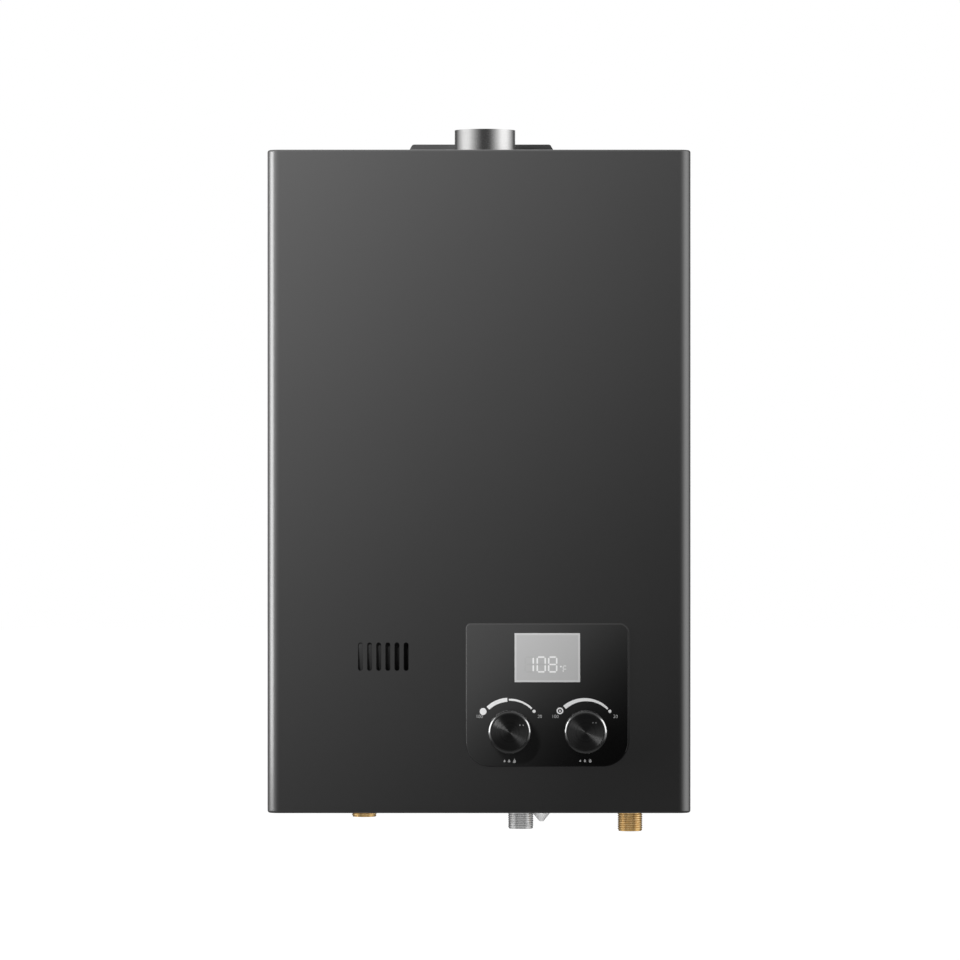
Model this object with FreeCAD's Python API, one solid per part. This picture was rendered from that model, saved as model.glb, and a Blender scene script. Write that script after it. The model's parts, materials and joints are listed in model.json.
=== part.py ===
import FreeCAD
import Part
import math
import os

# Wall-hung instantaneous gas water heater with a fan-powered flue, in millimetres.
# +X is to the right seen from the front, the front faces -Y, the wall is the plane y = 0.
# Heights below are measured from the case's bottom edge. save() then lowers every piece,
# so that the origin is the centre of the four wall fixing holes.

Vector = FreeCAD.Vector
same_place = 0.001

# ---- Case ----
case_width = 351.2
case_height = 550.0
case_depth = 140.0
case_sheet = 1.0
upright_radius = 10.0
lip_radius = 2.0
cover_fold = 18.0
cover_lip = 3.0
cover_wall_gap = 2.0
cover_clearance = 0.3
chassis_lap = 12.0
chassis_side_flange = 16.0
chassis_bend_radius = 2.0

# ---- Wall fixing ----
tab_centre_x = 2.0
tab_top_width = 117.6
tab_rise = 12.5
tab_corner_radius = 2.5
tab_end_slope = 0.55
fixing_spacing_x = 90.0
fixing_hole_radius = 3.25
upper_fixing_above_case = 4.5
lower_fixing_height = 30.0

# ---- Screws ----
screw_radius = 1.9
screw_clearance = 0.15
screw_head_radius = 3.8
screw_head_height = 1.4
side_screw_length = 7.0
side_screw_setback = 9.0
side_screw_margin = 60.0

# ---- Vent ----
slot_count = 6
slot_pitch = 7.56
slot_width = 4.1
slot_height = 23.5
vent_centre_x = -79.3
vent_height = 129.8
baffle_flange = 10.0
baffle_margin = 7.0
baffle_fall_right = 0.15
baffle_fall_down = 0.15

# ---- Air intake in the chassis floor ----
intake_count = 8
intake_pitch = 11.0
intake_width = 5.0
intake_length = 60.0
intake_centre_x = -36.0
intake_setback = 18.0

# ---- Control panel ----
panel_centre_x = 56.5
panel_height = 97.7
panel_width = 134.0
panel_tall = 117.5
panel_proud = 1.2
panel_edge_radius = 0.5
panel_radius_top_left = 3.0
panel_radius_top_right = 7.0
panel_radius_bottom_right = 21.0
panel_radius_bottom_left = 19.0
panel_rim = 3.5
panel_clearance = 0.3
panel_back = 1.8
panel_skirt_depth = 7.5
panel_skirt_wall = 1.6
window_centre_x = 56.6
window_height = 129.0
window_width = 54.4
window_tall = 40.8
window_ledge = 1.2
window_clearance = 0.1
lens_thickness = 1.6
lcd_margin = 1.0
lcd_thickness = 3.2
board_thickness = 1.6
board_hole_radius = 8.0

# ---- Knobs and spindles ----
power_knob_x = 25.3
gas_knob_x = 88.1
knob_height = 67.9
knob_radius = 18.0
knob_shoulder_radius = 17.4
knob_face_radius = 15.0
knob_length = 16.2
knob_rim_depth = 2.6
knob_wall = 2.2
knob_hub_radius = 6.0
knob_gap = 0.5
face_thickness = 0.6
face_seat = 0.05
face_inlay = 0.3
spindle_radius = 3.0
spindle_flat = 1.0
spindle_journal_radius = 4.0
spindle_journal_length = 22.0
spindle_hole_radius = 5.5
running_clearance = 0.05
press_clearance = 0.01
spindle_end_gap = 0.3

# ---- Flue ----
spigot_x = 5.0
spigot_radius = 25.5
spigot_wall = 0.6
spigot_rise = 20.0
spigot_drop = 28.0
spigot_flange = 76.0
spigot_flange_radius = 6.0
spigot_base_radius = 1.5
spigot_flange_thickness = 1.0
spigot_screw_spacing = 62.0
spigot_screw_reach = 4.0
gasket_thickness = 1.0
spigot_hole_clearance = 0.8

# ---- Fan ----
scroll_sheet = 0.8
scroll_spigot_gap = 1.5
scroll_tongue_gap = 7.0
scroll_hood_gap = 11.0
scroll_step = 5.0
outlet_side_gap = 2.5
outlet_top_below_case = 14.0
scroll_eye_radius = 27.0
impeller_radius = 40.0
impeller_inner_radius = 30.0
impeller_length = 40.0
impeller_disc = 1.0
impeller_rim = 1.0
impeller_back_gap = 9.0
blade_count = 18
blade_thickness = 0.8
blade_sweep = 7.0
blade_middle_share = 0.2
impeller_hub_radius = 7.0
impeller_hub_length = 12.0
shaft_radius = 2.5
motor_radius = 24.0
motor_length = 29.0
motor_seat_gap = 0.3
motor_boss_radius = 8.0
motor_boss_length = 3.0
motor_bore_depth = 20.0
motor_chamfer = 2.0

# ---- Heat exchanger ----
exchanger_half_width = 100.0
exchanger_wall_gap = 22.0
exchanger_bottom = 198.5
exchanger_top = 350.0
copper_sheet = 0.8
exchanger_flange = 5.0
tube_radius = 6.0
tube_wall = 0.8
tube_height = 322.0
tube_row_margin = 18.0
tube_end_run = 19.0
tube_hole_clearance = 0.3
tube_bend_slack = 0.1
tube_end_stub = 1.0
pipe_joint_gap = 0.3
fin_count = 14
fin_pitch = 14.0
fin_thickness = 0.6
fin_tall = 50.0
fin_clearance = 0.3
coil_bend_radius = 13.0
coil_gap = 2.5
coil_rise = 8.0
coil_riser_x = 130.0
coil_joint_drop = 40.0
coil_exit_rise = 16.0
coil_drop = 86.0
hot_pipe_straight = 14.0
hot_pipe_slope = 38.0
hood_height = 36.0
riser_half_width = 50.0
riser_wall_gap = 14.0
scroll_riser_gap = 0.3

# ---- Burner ----
burner_count = 10
burner_pitch = 18.0
burner_thickness = 8.0
burner_base = 162.3
burner_top = 192.0
burner_clearance = 3.0
burner_slot_count = 6
burner_slot_width = 1.2
burner_slot_depth = 3.0
venturi_radius = 5.0
venturi_length = 34.0
venturi_height = 172.0
venturi_mouth_proud = 2.0
burner_frame_bottom = 160.0
burner_frame_seat = 0.5
burner_ledge_width = 4.0
burner_ledge_thickness = 2.0
burner_ledge_inset = 14.0
venturi_wall = 1.0
venturi_end_wall = 4.0
manifold_side = 12.0
manifold_wall = 1.5
manifold_front_gap = 11.0
manifold_overhang = 11.0
gas_pipe_radius = 6.0
gas_pipe_bend = 14.0
gas_pipe_straight = 16.0
gas_pipe_insert = 8.0
manifold_elbow_drop = 12.0
jet_radius = 3.0
jet_length = 6.0
jet_bore_radius = 0.8
jet_nose_radius = 1.6
jet_nose_length = 2.0
jet_thread_radius = 2.0

# ---- Electrodes ----
electrode_positions = (-27.0, 9.0)
electrode_height = 206.0
ceramic_radius = 3.5
ceramic_length = 24.0
ceramic_collar_radius = 6.0
ceramic_collar_length = 4.0
ceramic_clearance = 0.3
electrode_wire_radius = 0.8
electrode_wire_length = 46.0
electrode_tip_drop = 7.0
electrode_tip_reach = 4.0
electrode_tail = 4.0
electrode_bend = 2.5

# ---- Pipe stubs below the case ----
thread_radius = 10.48
gas_thread_radius = 10.67
stub_neck_radius = 10.0
stub_bore_radius = 7.0
stub_chamfer = 1.1
stub_thread_gap = 0.5
socket_margin = 2.0
stub_end_gap = 3.0
valve_socket_radius = 7.6
hexagon_flats = 27.0
hexagon_height = 9.5
stub_seat_gap = 0.3
stub_hole_clearance = 0.6
hot_outlet_x = -96.5
hot_outlet_drop = 6.8
gas_inlet_x = 35.1
gas_inlet_drop = 16.8
water_inlet_x = 127.0
water_inlet_drop = 18.8
valve_stub_top = 46.0
hot_stub_top = 38.0
socket_clearance = 0.2
pipe_insert = 10.0

# ---- Gas valve ----
gas_valve_left = 12.0
gas_valve_cover_gap = 8.0
gas_valve_ahead = 22.0
gas_valve_behind = 20.0
gas_valve_above_link = 28.0
gas_valve_below_link = 16.0
casting_radius = 4.0
gas_inlet_boss_radius = 13.0
gas_inlet_boss_bottom = 30.0
gas_outlet_x = 60.0
gas_outlet_boss_radius = 9.5
gas_outlet_boss_length = 10.0
spindle_boss_radius = 7.6
spindle_boss_length = 12.0
spindle_journal_end_gap = 0.5
link_height = 60.0
plunger_radius = 6.0
plunger_length = 24.0
plunger_setback = 9.0
plunger_cup_depth = 18.0
plunger_cup_wall = 1.4
plunger_bore_depth = 52.0
spring_wire = 1.0
spring_turns = 6.0
spring_end_gap = 0.4

# ---- Link rod and water valve ----
link_radius = 2.5
link_travel = 3.0
link_collar_radius = 5.0
link_collar_length = 1.5
diaphragm_thickness = 1.5
diaphragm_gap = 0.3
diaphragm_stub_gap = 3.0
diaphragm_radius = 20.0
water_valve_radius = 22.0
water_valve_rim_radius = 2.0
water_chamber_radius = 17.0
plate_floor_clearance = 3.0
water_cover_length = 11.0
plate_radius = 14.0
plate_thickness = 1.5
water_disc_length = 6.2
water_core_radius = 13.0
water_core_length = 24.0
water_core_bore_radius = 7.0
water_core_end_wall = 4.0
water_chamber_floor = 4.0
water_outlet_bore_radius = 5.0
water_outlet_boss_rise = 38.0
water_inlet_boss_radius = 11.2
water_inlet_boss_bottom = 26.0
water_outlet_boss_radius = 9.0
drain_port_x = 126.0
drain_port_radius = 9.0
drain_port_drop = 8.0
drain_port_reach = 24.0
strainer_radius = 6.4
strainer_length = 18.0
strainer_wall = 0.8
strainer_taper = 1.0
strainer_rim_radius = 9.0
strainer_rim_thickness = 1.0

# ---- Microswitch ----
switch_length = 21.0
switch_lever_reach = 17.4
switch_thickness = 10.0
switch_tall = 10.0
switch_seat_gap = 0.2
switch_ear = 2.4
lever_pivot_drop = 2.4
lever_cover_gap = 2.6
lever_thickness = 0.8
lever_width = 3.6
lever_knuckle_radius = 1.7
lever_pin_radius = 0.8
lever_gap = 0.2
lever_rod_gap = 0.3

# ---- Solenoid ----
solenoid_radius = 11.0
solenoid_above_link = 8.0
solenoid_length = 38.0
solenoid_bore_depth = 30.0
solenoid_seat_gap = 0.3
solenoid_flange = 26.0
solenoid_flange_thickness = 2.0
solenoid_rod_radius = 4.0
solenoid_rod_length = 30.0
solenoid_pad_radius = 5.4
solenoid_pad_length = 2.0
solenoid_chamber_radius = 6.2
solenoid_chamber_depth = 12.0
solenoid_travel = 3.0
solenoid_stop_gap = 1.0

# ---- Drain ----
drain_x = 52.8
drain_block_radius = 9.0
drain_valve_gap = 3.0
drain_block_bottom = 14.0
drain_block_top = 64.0
drain_thread_radius = 6.0
drain_thread_length = 10.0
drain_grip_radius = 8.0
drain_grip_top = 11.5
drain_grip_straight_end = -5.0
drain_grip_tip = -12.9
drain_grip_tip_radius = 1.7
drain_grip_nose_radius = 1.2
drain_flute_count = 8
drain_flute_radius = 2.2
drain_hole_clearance = 0.8
drain_seal_outer = 8.4
drain_seal_thickness = 1.9
drain_pipe_bend = 8.0
drain_pipe_insert = 8.0
drain_pipe_wall = 1.2
drain_thread_chamfer = 1.0
drain_flute_depth = 0.9
drain_flute_top = -1.5
drain_seal_gap = 0.3

# ---- Control box, switches and gland ----
control_left = -90.0
control_right = -8.0
control_bottom = 36.0
control_top = 128.0
control_depth = 36.0
control_wall = 1.6
control_radius = 4.0
control_lid = 2.0
control_lid_rim = 4.0
control_lid_corner = 2.0
wall_seat_gap = 0.3
pressure_switch_x = -128.0
pressure_switch_radius = 20.0
pressure_switch_thickness = 18.0
pressure_switch_seam = 2.0
pressure_switch_step = 4.0
pressure_switch_taper = 3.0
pressure_port_radius = 2.0
pressure_port_length = 8.0
pressure_tube_radius = 3.0
pressure_tube_bore = 2.1
pressure_tube_bend = 14.0
pressure_tube_end_gap = 1.0
thermostat_radius = 8.0
thermostat_thickness = 9.0
thermostat_height = 296.0
thermostat_rim = 2.0
gland_x = -40.0
gland_y = -22.0
gland_radius = 8.0
gland_bore_radius = 3.5
gland_head_radius = 10.0
gland_head_drop = 4.5
gland_chamfer = 1.5
gland_nut_flats = 22.0
gland_nut_height = 6.0
gland_top = 12.0

# ---- Brackets ----
bracket_sheet = 1.2
bracket_width = 20.0
bracket_foot = 14.0
exchanger_bracket_x = 60.0
exchanger_bracket_height = 296.0
valve_bracket_x = 76.0
valve_bracket_height = 64.0

# ---- Sizes that follow from the ones above ----
half_width = case_width / 2
front = -case_depth
inner_front = front + case_sheet
middle_y = front / 2
chassis_half_width = half_width - case_sheet - cover_clearance
chassis_bottom = case_sheet + cover_clearance
chassis_top = case_height - case_sheet - cover_clearance
chassis_floor = chassis_bottom + case_sheet
chassis_front = front + cover_fold - chassis_lap
wall_inside = -case_sheet
intake_centre_y = middle_y - intake_setback
upper_fixing_height = case_height + upper_fixing_above_case
origin_height = (upper_fixing_height + lower_fixing_height) / 2
panel_front = front - panel_proud
knob_back = panel_front - knob_gap
knob_front = knob_back - knob_length
knob_inside = knob_front + knob_rim_depth + knob_wall - face_inlay

exchanger_half_depth = -middle_y - exchanger_wall_gap
exchanger_front = middle_y - exchanger_half_depth
exchanger_back = middle_y + exchanger_half_depth
tube_pitch = exchanger_half_depth - tube_row_margin
coil_start_height = tube_height - coil_drop
coil_joint_height = coil_start_height - coil_joint_drop
hot_pipe_bottom = hot_stub_top + hot_pipe_straight
burner_frame_top = exchanger_bottom - burner_frame_seat
manifold_y = inner_front + manifold_front_gap
hood_top = exchanger_top + hood_height

scroll_depth = 2 * (spigot_radius + scroll_spigot_gap)
scroll_first_radius = impeller_radius + impeller_rim + scroll_tongue_gap
scroll_last_radius = scroll_first_radius + 2 * scroll_step
outlet_half_width = spigot_radius + outlet_side_gap
fan_x = spigot_x + outlet_half_width - scroll_step / 2 - scroll_last_radius
fan_height = hood_top + scroll_hood_gap + scroll_last_radius
scroll_front = middle_y - scroll_depth / 2
scroll_back = middle_y + scroll_depth / 2
scroll_cover_front = scroll_front - scroll_sheet
motor_back = scroll_cover_front - motor_seat_gap
motor_front = motor_back - motor_length
impeller_back = scroll_back - impeller_back_gap
impeller_front = impeller_back - impeller_length
riser_front_y = scroll_back + scroll_riser_gap
riser_back_y = -riser_wall_gap
riser_top = fan_height + riser_half_width
pressure_switch_height = fan_height - scroll_step / 2

diaphragm_x = water_inlet_x - stub_neck_radius - diaphragm_stub_gap
diaphragm_wet_x = diaphragm_x + diaphragm_thickness + diaphragm_gap
water_cover_left = diaphragm_x - water_cover_length
plate_right = diaphragm_x - diaphragm_gap
water_chamber_depth = diaphragm_gap + plate_thickness + link_travel + plate_floor_clearance
water_outlet_x = coil_riser_x
water_outlet_boss_top = link_height + water_outlet_boss_rise
drain_port_height = link_height - drain_port_drop
drain_port_y = middle_y + drain_port_reach
gas_valve_right = water_cover_left - gas_valve_cover_gap
gas_valve_front = middle_y - gas_valve_ahead
gas_valve_back = middle_y + gas_valve_behind
gas_valve_top = link_height + gas_valve_above_link
gas_valve_bottom = link_height - gas_valve_below_link
gas_outlet_boss_top = gas_valve_top + gas_outlet_boss_length
spindle_boss_front = gas_valve_front - spindle_boss_length
spindle_inner_end = spindle_boss_front + spindle_journal_length
plunger_right = gas_valve_right - plunger_setback
plunger_left = plunger_right - plunger_length
solenoid_height = link_height + solenoid_above_link
lever_pivot_x = water_cover_left - lever_cover_gap
switch_left = lever_pivot_x - switch_lever_reach
drain_y = gas_valve_back + drain_valve_gap + drain_block_radius


def box(x_low, x_high, y_low, y_high, z_low, z_high):
    size = (x_high - x_low, y_high - y_low, z_high - z_low)
    return Part.makeBox(*size, Vector(x_low, y_low, z_low))


def rod_x(x_low, x_high, y, z, radius):
    return Part.makeCylinder(radius, x_high - x_low, Vector(x_low, y, z), Vector(1, 0, 0))


def rod_y(y_low, y_high, x, z, radius):
    return Part.makeCylinder(radius, y_high - y_low, Vector(x, y_low, z), Vector(0, 1, 0))


def rod_z(z_low, z_high, x, y, radius):
    return Part.makeCylinder(radius, z_high - z_low, Vector(x, y, z_low), Vector(0, 0, 1))


def turned_z(profile, x, y):
    """Solid of revolution about an upright axis, from (radius, height) points."""
    corners = [Vector(x + radius, y, z) for radius, z in profile]
    face = Part.Face(Part.makePolygon(corners + corners[:1]))
    return face.revolve(Vector(x, y, 0), Vector(0, 0, 1), 360)


def turned_y(profile, x, z):
    """Solid of revolution about a front-to-back axis, from (radius, y) points."""
    corners = [Vector(x + radius, y, z) for radius, y in profile]
    face = Part.Face(Part.makePolygon(corners + corners[:1]))
    return face.revolve(Vector(x, 0, z), Vector(0, 1, 0), 360)


def hexagon(x, y, z_low, z_high, across_flats):
    reach = across_flats / math.sqrt(3)
    corners = []
    for step in range(6):
        angle = math.pi * step / 3
        corners.append(Vector(x + reach * math.cos(angle), y + reach * math.sin(angle), z_low))
    face = Part.Face(Part.makePolygon(corners + corners[:1]))
    return face.extrude(Vector(0, 0, z_high - z_low))


def rounded_plate(x_low, x_high, z_low, z_high, radii, y_low, y_high):
    """Upright plate; the corner radii go top left, top right, bottom right, bottom left."""
    corners = ((x_low, z_high), (x_high, z_high), (x_high, z_low), (x_low, z_low))
    inward = ((1, -1), (-1, -1), (-1, 1), (1, 1))
    diagonal = math.sqrt(0.5)
    edges = []
    ends = []
    for (x, z), (to_x, to_z), radius in zip(corners, inward, radii):
        centre = Vector(x + to_x * radius, y_low, z + to_z * radius)
        along_x = Vector(centre.x, y_low, z)
        along_z = Vector(x, y_low, centre.z)
        middle = centre - Vector(to_x * radius * diagonal, 0, to_z * radius * diagonal)
        first, last = (along_z, along_x) if to_x * to_z < 0 else (along_x, along_z)
        ends.append((first, last))
        edges.append(Part.Arc(first, middle, last).toShape())
    outline = []
    for number in range(4):
        outline.append(edges[number])
        outline.append(Part.makeLine(ends[number][1], ends[(number + 1) % 4][0]))
    face = Part.Face(Part.Wire(outline))
    return face.extrude(Vector(0, y_high - y_low, 0))


def slot_prism(x, z, width, height, y_low, y_high):
    """Upright slot with round ends, cut from front to back."""
    radius = width / 2
    straight = height / 2 - radius
    left_low = Vector(x - radius, y_low, z - straight)
    left_high = Vector(x - radius, y_low, z + straight)
    right_low = Vector(x + radius, y_low, z - straight)
    right_high = Vector(x + radius, y_low, z + straight)
    top = Vector(x, y_low, z + height / 2)
    bottom = Vector(x, y_low, z - height / 2)
    edges = [
        Part.makeLine(left_low, left_high),
        Part.Arc(left_high, top, right_high).toShape(),
        Part.makeLine(right_high, right_low),
        Part.Arc(right_low, bottom, left_low).toShape(),
    ]
    return Part.Face(Part.Wire(edges)).extrude(Vector(0, y_high - y_low, 0))


def bent_path(points, bend_radius):
    """Wire through the points with each corner rounded to the bend radius."""
    corners = [Vector(*point) for point in points]
    edges = []
    start = corners[0]
    for before, corner, after in zip(corners, corners[1:], corners[2:]):
        back = (before - corner).normalize()
        ahead = (after - corner).normalize()
        half_angle = back.getAngle(ahead) / 2
        entry = corner + back * (bend_radius / math.tan(half_angle))
        leave = corner + ahead * (bend_radius / math.tan(half_angle))
        to_centre = (back + ahead).normalize() * (bend_radius / math.sin(half_angle))
        centre = corner + to_centre
        middle = centre - to_centre.normalize() * bend_radius
        edges.append(Part.makeLine(start, entry))
        edges.append(Part.Arc(entry, middle, leave).toShape())
        start = leave
    edges.append(Part.makeLine(start, corners[-1]))
    return Part.Wire(edges)


def bent_rod(points, bend_radius, radius):
    path = bent_path(points, bend_radius)
    direction = Vector(*points[1]) - Vector(*points[0])
    section = Part.Wire(Part.makeCircle(radius, Vector(*points[0]), direction))
    return path.makePipeShell([section], True, False)


def bent_tube(points, bend_radius, radius, wall):
    outside = bent_rod(points, bend_radius, radius)
    return outside.cut(bent_rod(points, bend_radius, radius - wall))


def edges_where(shape, chosen):
    return [edge for edge in shape.Edges if chosen(edge)]


def level(edge, height):
    return all(abs(vertex.Z - height) < same_place for vertex in edge.Vertexes)


def upright(edge):
    low, high = edge.Vertexes[0], edge.Vertexes[-1]
    return abs(low.X - high.X) < same_place and abs(low.Y - high.Y) < same_place


def save(name, *pieces):
    """One STEP file per node, moved to the origin at the wall fixings."""
    solids = [solid for piece in pieces for solid in piece.Solids]
    shape = solids[0] if len(solids) == 1 else Part.makeCompound(solids)
    shape = shape.copy()
    shape.translate(Vector(0, 0, -origin_height))
    shape.exportStep("parts/" + name + ".step")


# ---- Case ----

def rounded_block(half_x, y_front, y_back, z_low, z_high, corner, lip):
    """Block with rounded upright front edges and a rounded rim round its top and its bottom."""
    block = box(-half_x, half_x, y_front, y_back, z_low, z_high)
    uprights = edges_where(block, lambda edge: upright(edge) and edge.Vertexes[0].Y < y_back)
    block = block.makeFillet(corner, uprights)
    rims = []
    for height in (z_low, z_high):
        rims += edges_where(
            block, lambda edge: level(edge, height) and edge.CenterOfMass.y < y_back - same_place
        )
    return block.makeFillet(lip, rims)


def side_screw_heights():
    return (side_screw_margin, case_height - side_screw_margin)


def panel_outline(inset, y_low, y_high):
    """The control panel's outline, made smaller all round by the inset."""
    left = panel_centre_x - panel_width / 2 + inset
    right = panel_centre_x + panel_width / 2 - inset
    low = panel_height - panel_tall / 2 + inset
    high = panel_height + panel_tall / 2 - inset
    radii = (
        panel_radius_top_left,
        panel_radius_top_right,
        panel_radius_bottom_right,
        panel_radius_bottom_left,
    )
    tight = [max(radius - inset, panel_edge_radius) for radius in radii]
    return rounded_plate(left, right, low, high, tight, y_low, y_high)


def front_cover():
    back = -cover_wall_gap
    outer = rounded_block(half_width, front, back, 0, case_height, upright_radius, lip_radius)
    inner = rounded_block(
        half_width - case_sheet,
        inner_front,
        back + case_sheet,
        case_sheet,
        case_height - case_sheet,
        upright_radius - case_sheet,
        lip_radius - case_sheet,
    )
    cover = outer.cut(inner)
    reach = half_width - cover_lip
    for low in (-case_sheet, case_height - case_sheet):
        cover = cover.cut(box(-reach, reach, front + cover_fold, 0, low, low + 2 * case_sheet))
    openings = [panel_outline(panel_rim, front - 1, inner_front + 1)]
    for number in range(slot_count):
        x = vent_centre_x + (number - (slot_count - 1) / 2) * slot_pitch
        openings.append(
            slot_prism(x, vent_height, slot_width, slot_height, front - 1, inner_front + 1)
        )
    for height in side_screw_heights():
        hole = screw_radius + screw_clearance
        openings.append(rod_x(-half_width - 1, half_width + 1, -side_screw_setback, height, hole))
    return cover.cut(Part.makeCompound(openings))


def hanging_tab():
    """Top of the back wall, with sloped ends and rounded upper corners."""
    top = case_height + tab_rise
    half_top = tab_top_width / 2
    drop = top - (chassis_top - case_sheet)
    spread = drop * tab_end_slope
    outline = [
        Vector(tab_centre_x - half_top - spread, wall_inside, top - drop),
        Vector(tab_centre_x - half_top, wall_inside, top),
        Vector(tab_centre_x + half_top, wall_inside, top),
        Vector(tab_centre_x + half_top + spread, wall_inside, top - drop),
    ]
    tab = Part.Face(Part.makePolygon(outline + outline[:1])).extrude(Vector(0, case_sheet, 0))
    corners = edges_where(tab, lambda edge: abs(edge.CenterOfMass.z - top) < same_place
                          and abs(edge.Vertexes[0].X - edge.Vertexes[-1].X) < same_place)
    return tab.makeFillet(tab_corner_radius, corners)


def fixing_positions():
    for x in (-fixing_spacing_x / 2, fixing_spacing_x / 2):
        for height in (lower_fixing_height, upper_fixing_height):
            yield x, height


def back_chassis():
    half = chassis_half_width
    block = box(-half, half, chassis_front, 0, chassis_bottom, chassis_top)
    behind = edges_where(block, lambda edge: upright(edge) and edge.Vertexes[0].Y > wall_inside)
    block = block.makeFillet(chassis_bend_radius, behind)
    hollow = box(
        -half + case_sheet,
        half - case_sheet,
        chassis_front - 1,
        wall_inside,
        chassis_floor,
        chassis_top - case_sheet,
    )
    inside = edges_where(hollow, lambda edge: upright(edge)
                         and abs(edge.Vertexes[0].Y - wall_inside) < same_place)
    hollow = hollow.makeFillet(chassis_bend_radius - case_sheet, inside)
    chassis = block.cut(hollow)
    for side in (-1, 1):
        x_low, x_high = sorted((side * (half - case_sheet - 1), side * (half + 1)))
        chassis = chassis.cut(
            box(x_low, x_high, chassis_front - 1, -chassis_side_flange,
                chassis_bottom - 1, chassis_top + 1)
        )
    chassis = chassis.fuse(hanging_tab())
    holes = []
    for x, height in fixing_positions():
        holes.append(rod_y(wall_inside - 1, 1, x, height, fixing_hole_radius))
    for height in side_screw_heights():
        holes.append(rod_x(-half - 1, half + 1, -side_screw_setback, height, screw_radius))
    for x in (hot_outlet_x, gas_inlet_x, water_inlet_x):
        radius = stub_neck_radius + stub_hole_clearance
        holes.append(rod_z(0, chassis_floor + 1, x, middle_y, radius))
    drain_hole = drain_grip_radius + drain_hole_clearance
    holes.append(rod_z(0, chassis_floor + 1, drain_x, drain_y, drain_hole))
    holes.append(rod_z(0, chassis_floor + 1, gland_x, gland_y, gland_radius + screw_clearance))
    flue_hole = spigot_radius + spigot_hole_clearance
    holes.append(rod_z(chassis_top - 2, chassis_top + 1, spigot_x, middle_y, flue_hole))
    for x, y in spigot_screw_positions():
        holes.append(rod_z(chassis_top - 2, chassis_top + 1, x, y, screw_radius))
    for number in range(intake_count):
        x = intake_centre_x + (number - (intake_count - 1) / 2) * intake_pitch
        holes.append(
            box(x - intake_width / 2, x + intake_width / 2,
                intake_centre_y - intake_length / 2, intake_centre_y + intake_length / 2,
                0, chassis_floor + 1)
        )
    return chassis.cut(Part.makeCompound(holes)).removeSplitter()


def case_screws():
    """Pan-head screws: two in each side of the cover and four in the spigot's flange."""
    screws = []
    for side in (-1, 1):
        for height in side_screw_heights():
            start = Vector(side * half_width, -side_screw_setback, height)
            outward = Vector(side, 0, 0)
            head = Part.makeCylinder(screw_head_radius, screw_head_height, start, outward)
            shank = Part.makeCylinder(
                screw_radius - running_clearance, side_screw_length, start, -outward
            )
            screws.append(head.fuse(shank))
    flange_top = chassis_top + gasket_thickness + spigot_flange_thickness
    for x, y in spigot_screw_positions():
        head = rod_z(flange_top, flange_top + screw_head_height, x, y, screw_head_radius)
        shank = rod_z(chassis_top - spigot_screw_reach, flange_top, x, y, screw_radius - running_clearance)
        screws.append(head.fuse(shank))
    return screws


def vent_baffle():
    """Sheet behind the slots: it lies on the cover at the upper left and falls away right and down."""
    span = (slot_count - 1) * slot_pitch / 2 + slot_width / 2
    start_x = vent_centre_x - span
    start_z = vent_height + slot_height / 2
    right = vent_centre_x + span + baffle_margin
    fold = []
    flange = []
    plate = []
    for height in (start_z - slot_height - baffle_margin, start_z + baffle_margin):
        fold_x = start_x - (start_z - height) * baffle_fall_down / baffle_fall_right
        depth = (right - fold_x) * baffle_fall_right
        fold.append(Vector(fold_x, inner_front, height))
        flange.append(Vector(fold_x - baffle_flange, inner_front, height))
        plate.append(Vector(right, inner_front + depth, height))
    sheets = []
    for side in (flange, plate):
        corners = fold + side[::-1]
        face = Part.Face(Part.makePolygon(corners + corners[:1]))
        sheets.append(face.extrude(Vector(0, case_sheet, 0)))
    return sheets[0].fuse(sheets[1])


# ---- Control panel ----

def control_fascia():
    plate = panel_outline(0, panel_front, front)
    rim = edges_where(plate, lambda edge: all(v.Y < panel_front + same_place for v in edge.Vertexes))
    plate = plate.makeFillet(panel_edge_radius, rim)
    inset = panel_rim + panel_clearance
    plug = panel_outline(inset, front, front + panel_skirt_depth)
    hollow = panel_outline(
        inset + panel_skirt_wall, front + panel_back, front + panel_skirt_depth + 1
    )
    fascia = plate.fuse(plug).cut(hollow)
    half_x = window_width / 2
    half_z = window_tall / 2
    lens_back = panel_front + lens_thickness
    window = box(
        window_centre_x - half_x, window_centre_x + half_x, panel_front - 1, lens_back,
        window_height - half_z, window_height + half_z,
    )
    sight = box(
        window_centre_x - half_x + window_ledge, window_centre_x + half_x - window_ledge,
        panel_front - 1, front + panel_back + 1,
        window_height - half_z + window_ledge, window_height + half_z - window_ledge,
    )
    holes = [window, sight]
    for x in (power_knob_x, gas_knob_x):
        holes.append(rod_y(panel_front - 1, front + panel_back + 1, x, knob_height,
                           spindle_hole_radius))
    return fascia.cut(Part.makeCompound(holes)).removeSplitter()


def display_lens():
    half_x = window_width / 2 - window_clearance
    half_z = window_tall / 2 - window_clearance
    return box(
        window_centre_x - half_x, window_centre_x + half_x,
        panel_front, panel_front + lens_thickness,
        window_height - half_z, window_height + half_z,
    )


def lcd_module():
    half_x = window_width / 2 + lcd_margin
    half_z = window_tall / 2 + lcd_margin
    face = front + panel_back
    return box(
        window_centre_x - half_x, window_centre_x + half_x, face, face + lcd_thickness,
        window_height - half_z, window_height + half_z,
    )


def display_board():
    inset = panel_rim + panel_skirt_wall + 2 * panel_clearance
    face = front + panel_back + lcd_thickness
    board = panel_outline(inset, face, face + board_thickness)
    for x in (power_knob_x, gas_knob_x):
        board = board.cut(rod_y(face - 1, face + 3, x, knob_height, board_hole_radius))
    return board


def spindle_profile_cut(x, y_low, y_high):
    """The block that takes the flat off a spindle's end."""
    flat = knob_height + spindle_radius - spindle_flat
    reach = spindle_journal_radius + 1
    return box(x - reach, x + reach, y_low, y_high, flat, flat + reach)


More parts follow.
